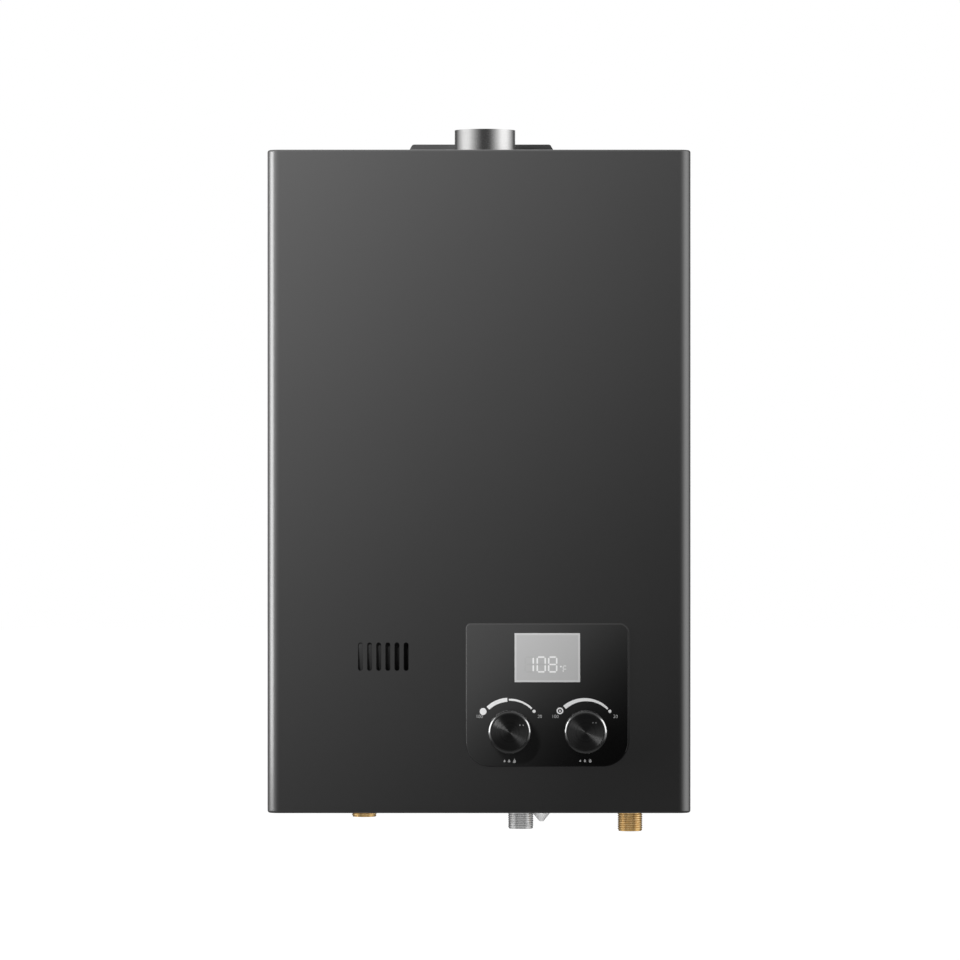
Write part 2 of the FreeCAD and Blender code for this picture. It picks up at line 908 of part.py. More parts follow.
def knob(x):
    """Hollow moulded knob: a tapered skirt, a rounded rim and a hub with a flatted bore."""
    rim_start = knob_front + knob_rim_depth
    rim_mid_radius = knob_face_radius + (knob_shoulder_radius - knob_face_radius) * math.sqrt(0.5)
    rim_mid_y = rim_start - knob_rim_depth * math.sqrt(0.5)
    edge = face_inlay
    outline = [
        Part.makeLine(Vector(0, knob_front + edge, 0), Vector(knob_face_radius, knob_front + edge, 0)),
        Part.makeLine(Vector(knob_face_radius, knob_front + edge, 0),
                      Vector(knob_face_radius, knob_front, 0)),
        Part.Arc(Vector(knob_face_radius, knob_front, 0),
                 Vector(rim_mid_radius, rim_mid_y, 0),
                 Vector(knob_shoulder_radius, rim_start, 0)).toShape(),
        Part.makeLine(Vector(knob_shoulder_radius, rim_start, 0), Vector(knob_radius, knob_back, 0)),
        Part.makeLine(Vector(knob_radius, knob_back, 0), Vector(0, knob_back, 0)),
        Part.makeLine(Vector(0, knob_back, 0), Vector(0, knob_front + edge, 0)),
    ]
    body = Part.Face(Part.Wire(outline)).revolve(Vector(0, 0, 0), Vector(0, 1, 0), 360)
    body.translate(Vector(x, 0, knob_height))
    skirt_space = turned_y(
        [
            (knob_hub_radius, knob_inside),
            (knob_shoulder_radius - knob_wall, knob_inside),
            (knob_radius - knob_wall, knob_back + 1),
            (knob_hub_radius, knob_back + 1),
        ],
        x, knob_height,
    )
    bore = rod_y(knob_inside, knob_back + 1, x, knob_height, spindle_radius + running_clearance)
    flat = spindle_profile_cut(x, knob_inside, knob_back + 1)
    flat.translate(Vector(0, 0, running_clearance))
    return body.cut(skirt_space).cut(bore.cut(flat))


def knob_face(x):
    """Thin spun metal disc let into the knob's front."""
    back = knob_front + face_inlay
    return rod_y(back - face_thickness, back, x, knob_height, knob_face_radius - face_seat)


def spindle(x):
    """Flatted shaft that the knob pushes on to, with a thicker journal in the valve's boss."""
    shaft = rod_y(knob_inside + spindle_end_gap, spindle_boss_front, x, knob_height,
                  spindle_radius)
    shaft = shaft.cut(spindle_profile_cut(x, knob_inside - 1, knob_back + 1))
    journal = rod_y(spindle_boss_front, spindle_inner_end, x, knob_height, spindle_journal_radius)
    return shaft.fuse(journal)


# ---- Flue and fan ----

def spigot_screw_positions():
    half = spigot_screw_spacing / 2
    for side_x in (-1, 1):
        for side_y in (-1, 1):
            yield spigot_x + side_x * half, middle_y + side_y * half


def flange_plate(z_low, z_high):
    half = spigot_flange / 2
    plate = box(spigot_x - half, spigot_x + half, middle_y - half, middle_y + half, z_low, z_high)
    plate = plate.makeFillet(spigot_flange_radius, edges_where(plate, upright))
    holes = []
    for x, y in spigot_screw_positions():
        holes.append(rod_z(z_low - 1, z_high + 1, x, y, screw_radius + screw_clearance))
    return plate.cut(Part.makeCompound(holes))


def flue_spigot():
    base = chassis_top + gasket_thickness
    flange = flange_plate(base, base + spigot_flange_thickness)
    bottom = case_height - spigot_drop
    top = case_height + spigot_rise
    tube = rod_z(bottom, top, spigot_x, middle_y, spigot_radius)
    bore = rod_z(bottom - 1, top + 1, spigot_x, middle_y, spigot_radius - spigot_wall)
    collar = flange.fuse(tube)
    seam = edges_where(collar, lambda edge: level(edge, base + spigot_flange_thickness)
                       and isinstance(edge.Curve, Part.Circle)
                       and abs(edge.Curve.Radius - spigot_radius) < same_place)
    return collar.makeFillet(spigot_base_radius, seam).cut(bore)


def flue_gasket():
    gasket = flange_plate(chassis_top, chassis_top + gasket_thickness)
    hole = spigot_radius + panel_clearance
    return gasket.cut(rod_z(chassis_top - 1, chassis_top + 3, spigot_x, middle_y, hole))


def scroll_outline(y, inset):
    """Volute of three quarter arcs that grow by one step each, with a straight outlet upwards."""
    half = scroll_step / 2
    outlet_top = case_height - outlet_top_below_case
    tongue_x = spigot_x - outlet_half_width + inset
    wall_x = spigot_x + outlet_half_width - inset
    radius = scroll_first_radius - inset
    centres = ((-half, -half), (half, -half), (half, half))
    first_x = fan_x + centres[0][0]
    first_z = fan_height + centres[0][1]
    tongue_angle = math.degrees(math.acos((tongue_x - first_x) / radius))
    tongue_z = first_z + radius * math.sin(math.radians(tongue_angle))
    edges = []
    starts = (tongue_angle, 180.0, 270.0)
    ends = (180.0, 270.0, 360.0)
    for number, (offset_x, offset_z) in enumerate(centres):
        arc_radius = radius + number * scroll_step
        points = []
        for angle in (starts[number], (starts[number] + ends[number]) / 2, ends[number]):
            turn = math.radians(angle)
            points.append(
                Vector(
                    fan_x + offset_x + arc_radius * math.cos(turn),
                    y,
                    fan_height + offset_z + arc_radius * math.sin(turn),
                )
            )
        edges.append(Part.Arc(*points).toShape())
    right_low = Vector(wall_x, y, fan_height + centres[2][1])
    right_high = Vector(wall_x, y, outlet_top)
    left_high = Vector(tongue_x, y, outlet_top)
    tongue = Vector(tongue_x, y, tongue_z)
    edges.append(Part.makeLine(right_low, right_high))
    edges.append(Part.makeLine(right_high, left_high))
    edges.append(Part.makeLine(left_high, tongue))
    return Part.Wire(edges)


def scroll_solid(y_low, y_high, inset):
    return Part.Face(scroll_outline(y_low, inset)).extrude(Vector(0, y_high - y_low, 0))


def fan_scroll():
    """Open at the front, where its cover goes, and at the top of the outlet."""
    shell = scroll_solid(scroll_front, scroll_back, 0)
    space = scroll_solid(scroll_front - 1, scroll_back - scroll_sheet, scroll_sheet)
    eye = rod_y(scroll_back - 3, scroll_back + 1, fan_x, fan_height, scroll_eye_radius)
    outlet_top = case_height - outlet_top_below_case
    mouth = box(
        spigot_x - outlet_half_width + scroll_sheet, spigot_x + outlet_half_width - scroll_sheet,
        scroll_front - 1, scroll_back - scroll_sheet,
        outlet_top - scroll_sheet - 1, outlet_top + 1,
    )
    return shell.cut(space).cut(eye).cut(mouth)


def fan_scroll_cover():
    plate = scroll_solid(scroll_cover_front, scroll_front, 0)
    hole = motor_boss_radius + screw_clearance
    return plate.cut(rod_y(scroll_cover_front - 1, scroll_front + 1, fan_x, fan_height, hole))


def fan_motor():
    """Round can with a nose in the cover's hole and a bearing bore for the shaft."""
    can = rod_y(motor_front, motor_back, fan_x, fan_height, motor_radius)
    rims = edges_where(can, lambda edge: len(edge.Vertexes) == 1)
    can = can.makeChamfer(motor_chamfer, rims)
    nose = rod_y(motor_back, motor_back + motor_boss_length, fan_x, fan_height, motor_boss_radius)
    bore = rod_y(
        motor_back - motor_bore_depth, motor_back + motor_boss_length + 1,
        fan_x, fan_height, shaft_radius + running_clearance,
    )
    return can.fuse(nose).cut(bore)


def impeller_blade():
    """Thin forward-curved blade between two concentric arcs, along the rotor."""
    inner = impeller_inner_radius
    outer = impeller_radius
    middle = (inner + outer) / 2
    bow = math.radians(blade_sweep)
    points = []
    for radius, angle in ((inner, 0.0), (middle, bow * blade_middle_share), (outer, bow)):
        points.append((radius * math.cos(angle), radius * math.sin(angle)))
    front_side = [Vector(px, impeller_front + impeller_disc, pz) for px, pz in points]
    back_side = [point + Vector(0, 0, blade_thickness) for point in front_side]
    edges = [
        Part.Arc(*front_side).toShape(),
        Part.makeLine(front_side[2], back_side[2]),
        Part.Arc(back_side[2], back_side[1], back_side[0]).toShape(),
        Part.makeLine(back_side[0], front_side[0]),
    ]
    length = impeller_length - 2 * impeller_disc
    return Part.Face(Part.Wire(edges)).extrude(Vector(0, length, 0))


def fan_impeller():
    """Squirrel-cage rotor: a front disc with a hub, a back ring and curved blades between them."""
    disc = rod_y(impeller_front, impeller_front + impeller_disc, 0, 0, impeller_radius + impeller_rim)
    ring = rod_y(impeller_back - impeller_disc, impeller_back, 0, 0, impeller_radius + impeller_rim)
    ring = ring.cut(rod_y(impeller_front, impeller_back + 1, 0, 0, impeller_inner_radius))
    hub = rod_y(impeller_front, impeller_front + impeller_hub_length, 0, 0, impeller_hub_radius)
    blades = []
    for number in range(blade_count):
        blade = impeller_blade()
        blade.rotate(Vector(0, 0, 0), Vector(0, 1, 0), 360.0 * number / blade_count)
        blades.append(blade)
    rotor = disc.multiFuse([ring, hub] + blades)
    bore = rod_y(impeller_front - 1, impeller_front + impeller_hub_length + 1, 0, 0,
                 shaft_radius + press_clearance)
    rotor = rotor.cut(bore)
    rotor.translate(Vector(fan_x, 0, fan_height))
    return rotor


def motor_shaft():
    return rod_y(
        motor_back - motor_bore_depth + 1, impeller_front + impeller_hub_length,
        fan_x, fan_height, shaft_radius,
    )


def rectangle(x_low, x_high, y_low, y_high, z):
    corners = [
        Vector(x_low, y_low, z),
        Vector(x_high, y_low, z),
        Vector(x_high, y_high, z),
        Vector(x_low, y_high, z),
    ]
    return Part.makePolygon(corners + corners[:1])


def hood_solid(inset, bottom, top, riser_end):
    """Funnel from the exchanger's outline to a flat duct, and that duct up to its end."""
    half_x = exchanger_half_width - copper_sheet - inset
    half_y = exchanger_half_depth - copper_sheet - inset
    low = rectangle(
        -half_x, half_x, middle_y - half_y, middle_y + half_y, bottom
    )
    duct = (
        fan_x - riser_half_width + inset,
        fan_x + riser_half_width - inset,
        riser_front_y + inset,
        riser_back_y - inset,
    )
    high = rectangle(*duct, top)
    funnel = Part.makeLoft([low, high], True, True)
    return funnel.fuse(box(*duct, top, riser_end))


def flue_hood():
    bottom = exchanger_top
    outside = hood_solid(0, bottom, hood_top, riser_top)
    inside = hood_solid(scroll_sheet, bottom - 1, hood_top, riser_top - scroll_sheet)
    half_x = exchanger_half_width + exchanger_flange
    half_y = exchanger_half_depth + exchanger_flange
    flange = box(
        -half_x, half_x, middle_y - half_y, middle_y + half_y,
        bottom, bottom + scroll_sheet,
    )
    eye = rod_y(riser_front_y - 1, riser_front_y + 3, fan_x, fan_height, scroll_eye_radius)
    return outside.fuse(flange).cut(inside).cut(eye).removeSplitter()


# ---- Heat exchanger ----

def tube_rows():
    return [middle_y + tube_pitch * row for row in (-1, 0, 1)]


def heat_exchanger_shell():
    """Open copper box with a flange round its top and holes for the tubes and electrodes."""
    half_x = exchanger_half_width
    half_y = exchanger_half_depth
    mid = middle_y
    wall = box(-half_x, half_x, mid - half_y, mid + half_y, exchanger_bottom, exchanger_top)
    flange = box(
        -half_x - exchanger_flange, half_x + exchanger_flange,
        mid - half_y - exchanger_flange, mid + half_y + exchanger_flange,
        exchanger_top - copper_sheet, exchanger_top,
    )
    space = box(
        -half_x + copper_sheet, half_x - copper_sheet,
        mid - half_y + copper_sheet, mid + half_y - copper_sheet,
        exchanger_bottom - 1, exchanger_top + 1,
    )
    holes = [space]
    for y in tube_rows():
        holes.append(rod_x(-half_x - 1, half_x + 1, y, tube_height, tube_radius + tube_hole_clearance))
    for x in electrode_positions:
        holes.append(
            rod_y(mid - half_y - 1, mid - half_y + 2, x, electrode_height,
                  ceramic_radius + ceramic_clearance)
        )
    return wall.fuse(flange).cut(Part.makeCompound(holes)).removeSplitter()


def heat_exchanger_fins():
    half_y = exchanger_half_depth - copper_sheet - fin_clearance
    holes = []
    for y in tube_rows():
        holes.append(rod_x(-exchanger_half_width, exchanger_half_width, y, tube_height,
                           tube_radius + running_clearance))
    cutter = Part.makeCompound(holes)
    fins = []
    for number in range(fin_count):
        x = (number - (fin_count - 1) / 2) * fin_pitch
        fin = box(
            x - fin_thickness / 2, x + fin_thickness / 2,
            middle_y - half_y, middle_y + half_y,
            tube_height - fin_tall / 2, tube_height + fin_tall / 2,
        )
        fins.append(fin.cut(cutter))
    return fins


def heat_exchanger_tubes():
    """One serpentine pipe: in at the right front, three passes, out at the left back."""
    front_row, middle_row, back_row = tube_rows()
    turn_x = exchanger_half_width + tube_end_run
    end_x = exchanger_half_width + tube_end_stub
    points = [
        (end_x, front_row, tube_height),
        (-turn_x, front_row, tube_height),
        (-turn_x, middle_row, tube_height),
        (turn_x, middle_row, tube_height),
        (turn_x, back_row, tube_height),
        (-end_x, back_row, tube_height),
    ]
    return bent_tube(points, tube_pitch / 2 - tube_bend_slack, tube_radius, tube_wall)


def cold_pipe():
    """Upright copper pipe from the water valve to the coil."""
    pipe = rod_z(water_outlet_boss_top - pipe_insert, coil_joint_height,
                 coil_riser_x, middle_y, tube_radius)
    bore = rod_z(0, coil_start_height, coil_riser_x, middle_y, tube_radius - tube_wall)
    return pipe.cut(bore)


def water_coil():
    """One turn of copper pipe round the exchanger, climbing steadily to its upper tubes."""
    side_x = exchanger_half_width + coil_gap + tube_radius
    side_y = exchanger_half_depth + coil_gap + tube_radius
    front_y = middle_y - side_y
    back_y = middle_y + side_y
    exit_x = exchanger_half_width + tube_end_run
    first_row = tube_rows()[0]
    levels = [coil_start_height + coil_rise * step for step in range(4)]
    points = [
        (coil_riser_x, middle_y, coil_joint_height + pipe_joint_gap),
        (coil_riser_x, middle_y, levels[0]),
        (coil_riser_x, back_y, levels[0]),
        (-side_x, back_y, levels[1]),
        (-side_x, front_y, levels[2]),
        (exit_x, front_y, levels[3]),
        (exit_x, front_y, levels[3] + coil_exit_rise),
        (exit_x, first_row, tube_height),
        (exchanger_half_width + tube_end_stub + pipe_joint_gap, first_row, tube_height),
    ]
    return bent_tube(points, coil_bend_radius, tube_radius, tube_wall)


def hot_outlet_pipe():
    """From the exchanger's upper left down to the hot water stub."""
    down_x = -exchanger_half_width - tube_end_run - tube_radius
    back_row = tube_rows()[2]
    points = [
        (-exchanger_half_width - tube_end_stub - pipe_joint_gap, back_row, tube_height),
        (down_x, back_row, tube_height),
        (down_x, back_row, hot_pipe_bottom + hot_pipe_slope),
        (hot_outlet_x, middle_y, hot_pipe_bottom),
        (hot_outlet_x, middle_y, hot_stub_top - pipe_insert),
    ]
    return bent_tube(points, coil_bend_radius, tube_radius, tube_wall)


# ---- Burner ----

def burner_places():
    return [(number - (burner_count - 1) / 2) * burner_pitch for number in range(burner_count)]


def burner_bars():
    """Flat slotted burners side by side, each with a round mixing tube that meets its jet."""
    front_y = exchanger_front + burner_clearance
    back_y = exchanger_back - burner_clearance
    bars = []
    for x in burner_places():
        bar = box(x - burner_thickness / 2, x + burner_thickness / 2, front_y, back_y,
                  burner_base, burner_top)
        tube = rod_y(exchanger_front - venturi_mouth_proud, front_y + venturi_length, x,
                     venturi_height, venturi_radius)
        mouth_end = front_y + venturi_length - venturi_end_wall
        mouth = rod_y(exchanger_front - venturi_mouth_proud - 1, mouth_end, x,
                      venturi_height, venturi_radius - venturi_wall)
        slots = []
        pitch = (back_y - front_y) / (burner_slot_count + 1)
        for number in range(burner_slot_count):
            y = front_y + (number + 1) * pitch
            slots.append(box(x - burner_thickness, x + burner_thickness,
                             y - burner_slot_width / 2, y + burner_slot_width / 2,
                             burner_top - burner_slot_depth, burner_top + 1))
        bars.append(bar.fuse(tube).cut(mouth).cut(Part.makeCompound(slots)))
    return bars


def burner_frame():
    """Sheet ring round the burners, with two ledges under them and a hole for each mixing tube."""
    half_x = exchanger_half_width
    wall = box(-half_x, half_x, exchanger_front, exchanger_back, burner_frame_bottom,
               burner_frame_top)
    space = box(-half_x + copper_sheet, half_x - copper_sheet, exchanger_front + copper_sheet,
                exchanger_back - copper_sheet, burner_frame_bottom - 1, burner_frame_top + 1)
    frame = wall.cut(space)
    ledge_top = burner_base - wall_seat_gap
    last_ledge = exchanger_back - burner_ledge_inset - burner_ledge_width
    for y in (exchanger_front + burner_ledge_inset, last_ledge):
        frame = frame.fuse(box(-half_x + copper_sheet, half_x - copper_sheet,
                               y, y + burner_ledge_width,
                               ledge_top - burner_ledge_thickness, ledge_top))
    holes = []
    for x in burner_places():
        holes.append(rod_y(exchanger_front - 1, exchanger_front + 2, x, venturi_height,
                           venturi_radius + ceramic_clearance))
    return frame.cut(Part.makeCompound(holes)).removeSplitter()


def manifold_reach():
    return burner_places()[-1] + manifold_overhang


def gas_manifold():
    """Square rail across the burners with the bent pipe that comes up from the gas valve."""
    reach = manifold_reach()
    half = manifold_side / 2
    rail = box(-reach, reach, manifold_y - half, manifold_y + half, venturi_height - half,
               venturi_height + half)
    points = [
        (gas_outlet_x, middle_y, gas_outlet_boss_top - gas_pipe_insert),
        (gas_outlet_x, middle_y, gas_outlet_boss_top + gas_pipe_straight),
        (gas_outlet_x, manifold_y, venturi_height - half - manifold_elbow_drop),
        (gas_outlet_x, manifold_y, venturi_height),
    ]
    pipe = bent_rod(points, gas_pipe_bend, gas_pipe_radius)
    inner = half - manifold_wall
    space = box(-reach + manifold_wall, reach - manifold_wall, manifold_y - inner,
                manifold_y + inner, venturi_height - inner, venturi_height + inner)
    bore = bent_rod(points, gas_pipe_bend, gas_pipe_radius - manifold_wall)
    holes = [space, bore]
    for x in burner_places():
        holes.append(rod_y(manifold_y, manifold_y + half + 1, x, venturi_height,
                           jet_thread_radius + running_clearance))
    return rail.fuse(pipe).cut(Part.makeCompound(holes)).removeSplitter()


def gas_jets():
    """Small brass jets, screwed into the rail's back and aimed at the mixing tubes."""
    seat = manifold_y + manifold_side / 2
    jets = []
    for x in burner_places():
        profile = [
            (jet_bore_radius, seat - manifold_wall),
            (jet_thread_radius, seat - manifold_wall),
            (jet_thread_radius, seat),
            (jet_radius, seat),
            (jet_radius, seat + jet_length - jet_nose_length),
            (jet_nose_radius, seat + jet_length),
            (jet_bore_radius, seat + jet_length),
        ]
        jets.append(turned_y(profile, x, venturi_height))
    return jets


def electrode_ceramics():
    """Glazed insulators through the exchanger's front wall, each with a collar against it."""
    seat = exchanger_front - wall_seat_gap
    pieces = []
    for x in electrode_positions:
        body = rod_y(seat - ceramic_length / 2, seat + ceramic_length / 2, x, electrode_height,
                     ceramic_radius)
        collar = rod_y(seat - ceramic_collar_length, seat, x, electrode_height,
                       ceramic_collar_radius)
        bore = rod_y(seat - ceramic_length, seat + ceramic_length, x, electrode_height,
                     electrode_wire_radius + running_clearance)
        pieces.append(body.fuse(collar).cut(bore))
    return pieces


def electrode_wires():
    """Spark and flame-sensing wires, bent down towards the burner's top."""
    start = exchanger_front - ceramic_length / 2 - electrode_tail
    wires = []
    for x in electrode_positions:
        end = start + electrode_wire_length
        points = [
            (x, start, electrode_height),
            (x, end, electrode_height),
            (x, end + electrode_tip_reach, electrode_height - electrode_tip_drop),
        ]
        wires.append(bent_rod(points, electrode_bend, electrode_wire_radius))
    return wires


# ---- Pipe stubs ----

def pipe_stub(x, drop, top, bore_top_radius, radius=thread_radius):
    """Threaded stub below the case, a hexagon that sits on the chassis floor and a neck above."""
    seat = chassis_floor + stub_seat_gap
    profile = [
        (stub_bore_radius, -drop),
        (radius - stub_chamfer, -drop),
        (radius, -drop + stub_chamfer),
        (radius, -stub_thread_gap),
        (stub_neck_radius, -stub_thread_gap),
        (stub_neck_radius, top),
        (bore_top_radius, top),
        (bore_top_radius, top - pipe_insert - socket_margin),
        (stub_bore_radius, top - pipe_insert - socket_margin),
    ]
    stub = turned_z(profile, x, middle_y)
    nut = hexagon(x, middle_y, seat, seat + hexagon_height, hexagon_flats)
    nut = nut.cut(rod_z(seat - 1, seat + hexagon_height + 1, x, middle_y, stub_bore_radius + 1))
    return stub.fuse(nut).removeSplitter()


def inlet_strainer():
    """Cup-shaped filter in the cold inlet's neck, with a rim on top of it."""
    rim_low = valve_stub_top + socket_clearance
    rim_top = rim_low + strainer_rim_thickness
    low = valve_stub_top - strainer_length
    tip = strainer_radius - strainer_taper
    profile = [
        (strainer_radius - strainer_wall, rim_top),
        (strainer_rim_radius, rim_top),
        (strainer_rim_radius, rim_low),
        (strainer_radius, rim_low),
        (tip, low),
        (0, low),
        (0, low + strainer_wall),
        (tip - strainer_wall, low + strainer_wall),
    ]
    return turned_z(profile, water_inlet_x, middle_y)


# ---- Gas valve ----

def gas_valve_body():
    """Cast block with bosses for the inlet, the outlet and both spindles, bored for its plunger."""
    block = box(gas_valve_left, gas_valve_right, gas_valve_front, gas_valve_back,
                gas_valve_bottom, gas_valve_top)
    block = block.makeFillet(casting_radius, edges_where(block, upright))
    bosses = [
        rod_z(gas_inlet_boss_bottom, gas_valve_bottom + 1, gas_inlet_x, middle_y,
              gas_inlet_boss_radius),
        rod_z(gas_valve_top - 1, gas_outlet_boss_top, gas_outlet_x, middle_y,
              gas_outlet_boss_radius),
    ]
    holes = [
        rod_z(gas_inlet_boss_bottom - 1, valve_stub_top + stub_end_gap, gas_inlet_x, middle_y,
              stub_neck_radius + socket_clearance),
        rod_z(gas_valve_top - pipe_insert, gas_outlet_boss_top + 1, gas_outlet_x, middle_y,
              gas_pipe_radius + socket_clearance),
        rod_x(gas_valve_right - plunger_bore_depth, gas_valve_right + 1, middle_y, link_height,
              plunger_radius),
        rod_x(gas_valve_left - 1, gas_valve_left + solenoid_chamber_depth, middle_y,
              solenoid_height, solenoid_chamber_radius),
    ]
    for x in (power_knob_x, gas_knob_x):
        bosses.append(rod_y(spindle_boss_front, gas_valve_front + 1, x, knob_height,
                            spindle_boss_radius))
        holes.append(rod_y(spindle_boss_front - 1, spindle_inner_end + spindle_journal_end_gap, x,
                           knob_height,
                           spindle_journal_radius + running_clearance))
    return block.multiFuse(bosses).cut(Part.makeCompound(holes)).removeSplitter()


def gas_plunger():
    """Cup in the gas valve's bore; the link rod pushes its closed end, the spring sits in it."""
    outer = rod_x(plunger_left, plunger_right, middle_y, link_height,
                  plunger_radius - running_clearance)
    cup = rod_x(plunger_left - 1, plunger_left + plunger_cup_depth, middle_y, link_height,
                plunger_radius - plunger_cup_wall)
    return outer.cut(cup)


def plunger_spring():
    """Square-wire compression spring between the bore's end and the plunger's cup."""
    start = gas_valve_right - plunger_bore_depth + spring_end_gap
    end = plunger_left + plunger_cup_depth - spring_end_gap
    length = end - start - spring_wire
    radius = plunger_radius - plunger_cup_wall - spring_wire
    helix = Part.makeHelix(length / spring_turns, length, radius)
    half = spring_wire / 2
    corners = [
        Vector(radius - half, 0, -half),
        Vector(radius + half, 0, -half),
        Vector(radius + half, 0, half),
        Vector(radius - half, 0, half),
    ]
    section = Part.makePolygon(corners + corners[:1])
    spring = Part.Wire(helix.Edges).makePipeShell([section], True, True)
    spring.rotate(Vector(0, 0, 0), Vector(0, 1, 0), 90)
    spring.translate(Vector(start + half, middle_y, link_height))
    return spring


def solenoid():
    """Coil can on the gas valve's left side, bored for its plunger, on a square flange."""
    right = gas_valve_left - solenoid_seat_gap
    can = rod_x(right - solenoid_length, right, middle_y, solenoid_height, solenoid_radius)
    half = solenoid_flange / 2
    flange = box(right - solenoid_flange_thickness, right, middle_y - half, middle_y + half,
                 solenoid_height - half, solenoid_height + half)
    bore = rod_x(right - solenoid_bore_depth, right + 1, middle_y, solenoid_height,
                 solenoid_rod_radius + running_clearance)
    return can.fuse(flange).cut(bore)


def solenoid_plunger():
    """Steel core with the rubber-faced seat at its end, in the gas valve's chamber."""
    pad_left = gas_valve_left + solenoid_travel + solenoid_stop_gap
    core = rod_x(pad_left - solenoid_rod_length, pad_left, middle_y, solenoid_height,
                 solenoid_rod_radius)
    pad = rod_x(pad_left, pad_left + solenoid_pad_length, middle_y, solenoid_height,
                solenoid_pad_radius)
    return core.fuse(pad)


# ---- Water valve and link ----

def link_rod():
    """Rod from the diaphragm's plate to the gas plunger, with the collar that moves the lever."""
    rod = rod_x(plunger_right, plate_right, middle_y, link_height, link_radius)
    plate = rod_x(plate_right - plate_thickness, plate_right, middle_y, link_height, plate_radius)
    collar_left = lever_pivot_x + lever_thickness / 2 + lever_gap
    collar = rod_x(collar_left, collar_left + link_collar_length, middle_y, link_height,
                   link_collar_radius)
    return rod.multiFuse([plate, collar]).removeSplitter()


def water_valve_cover():
    """Dry half of the diaphragm housing, with a round chamber and the rod's guide bore."""
    disc = rod_x(water_cover_left, diaphragm_x, middle_y, link_height, water_valve_radius)
    rim = edges_where(disc, lambda edge: len(edge.Vertexes) == 1
                      and edge.CenterOfMass.x < water_cover_left + same_place)
    disc = disc.makeFillet(water_valve_rim_radius, rim)
    chamber = rod_x(diaphragm_x - water_chamber_depth, diaphragm_x + 1, middle_y, link_height,
                    water_chamber_radius)
    guide = rod_x(water_cover_left - 1, diaphragm_x, middle_y, link_height,
                  link_radius + running_clearance)
    return disc.cut(chamber).cut(guide)


def valve_diaphragm():
    return rod_x(diaphragm_x, diaphragm_x + diaphragm_thickness, middle_y, link_height,
                 diaphragm_radius)


def water_valve_body():
    """Wet half of the diaphragm housing: a cast brass body with inlet, outlet and drain ports."""
    left = diaphragm_wet_x
    disc = rod_x(left, left + water_disc_length, middle_y, link_height, water_valve_radius)
    others = [
        rod_x(left, left + water_core_length, middle_y, link_height, water_core_radius),
        rod_z(water_inlet_boss_bottom, link_height, water_inlet_x, middle_y,
              water_inlet_boss_radius),
        rod_z(link_height, water_outlet_boss_top, water_outlet_x, middle_y,
              water_outlet_boss_radius),
        rod_y(middle_y, drain_port_y, drain_port_x, drain_port_height, drain_port_radius),
    ]
    pipe_hole = tube_radius + socket_clearance
    holes = [
        rod_x(left - 1, left + water_chamber_floor, middle_y, link_height, water_chamber_radius),
        rod_x(left, left + water_core_length - water_core_end_wall, middle_y, link_height,
              water_core_bore_radius),
        rod_z(water_inlet_boss_bottom - 1, valve_stub_top + socket_margin, water_inlet_x, middle_y,
              stub_neck_radius + socket_clearance),
        rod_z(water_outlet_boss_top - pipe_insert - socket_margin, water_outlet_boss_top + 1,
              water_outlet_x, middle_y, pipe_hole),
        rod_z(link_height, water_outlet_boss_top, water_outlet_x, middle_y,
              water_outlet_bore_radius),
        rod_y(drain_port_y - pipe_insert, drain_port_y + 1, drain_port_x,
              drain_port_height, pipe_hole),
    ]
    return disc.multiFuse(others).cut(Part.makeCompound(holes)).removeSplitter()


def switch_bottom():
    return gas_valve_top + switch_seat_gap


def lever_pivot_height():
    return switch_bottom() - lever_pivot_drop


def microswitch():
    """Moulded switch on top of the gas valve, with two ears that hold the lever's pin."""
    bottom = switch_bottom()
    half = switch_thickness / 2
    body = box(switch_left, switch_left + switch_length, middle_y - half, middle_y + half,
               bottom, bottom + switch_tall)
    pivot = lever_pivot_height()
    gap = lever_width / 2 + lever_gap
    ear_left = lever_pivot_x - switch_ear
    ear_right = lever_pivot_x + switch_ear
    ears = [
        box(ear_left, ear_right, middle_y - half, middle_y - gap, pivot - switch_ear, bottom + 1),
        box(ear_left, ear_right, middle_y + gap, middle_y + half, pivot - switch_ear, bottom + 1),
        rod_y(middle_y - half, middle_y + half, lever_pivot_x, pivot, lever_pin_radius),
    ]
    return body.multiFuse(ears).removeSplitter()


def microswitch_lever():
    """Leaf that hangs from the pin, its end just beside the link rod's collar."""
    pivot = lever_pivot_height()
    half = lever_width / 2
    left = lever_pivot_x - lever_thickness / 2
    leaf = box(left, left + lever_thickness, middle_y - half, middle_y + half,
               link_height + link_radius + lever_rod_gap, pivot)
    knuckle = rod_y(middle_y - half, middle_y + half, lever_pivot_x, pivot, lever_knuckle_radius)
    bore = rod_y(middle_y - half - 1, middle_y + half + 1, lever_pivot_x, pivot,
                 lever_pin_radius + running_clearance)
    return leaf.fuse(knuckle).cut(bore).removeSplitter()


# ---- Drain ----

def drain_branch():
    """Pipe from the water valve to a small upright block, threaded below for the drain plug."""
    block = rod_z(drain_block_bottom, drain_block_top, drain_x, drain_y, drain_block_radius)
    points = [
        (drain_port_x, drain_port_y - drain_pipe_insert, drain_port_height),
        (drain_port_x, drain_y, drain_port_height),
        (drain_x, drain_y, drain_port_height),
    ]
    pipe = bent_rod(points, drain_pipe_bend, tube_radius)
    bore = bent_rod(points, drain_pipe_bend, tube_radius - drain_pipe_wall)
    thread = rod_z(drain_block_bottom - 1, drain_port_height, drain_x, drain_y,
                   drain_thread_radius)
    return block.fuse(pipe).cut(bore).cut(thread).removeSplitter()


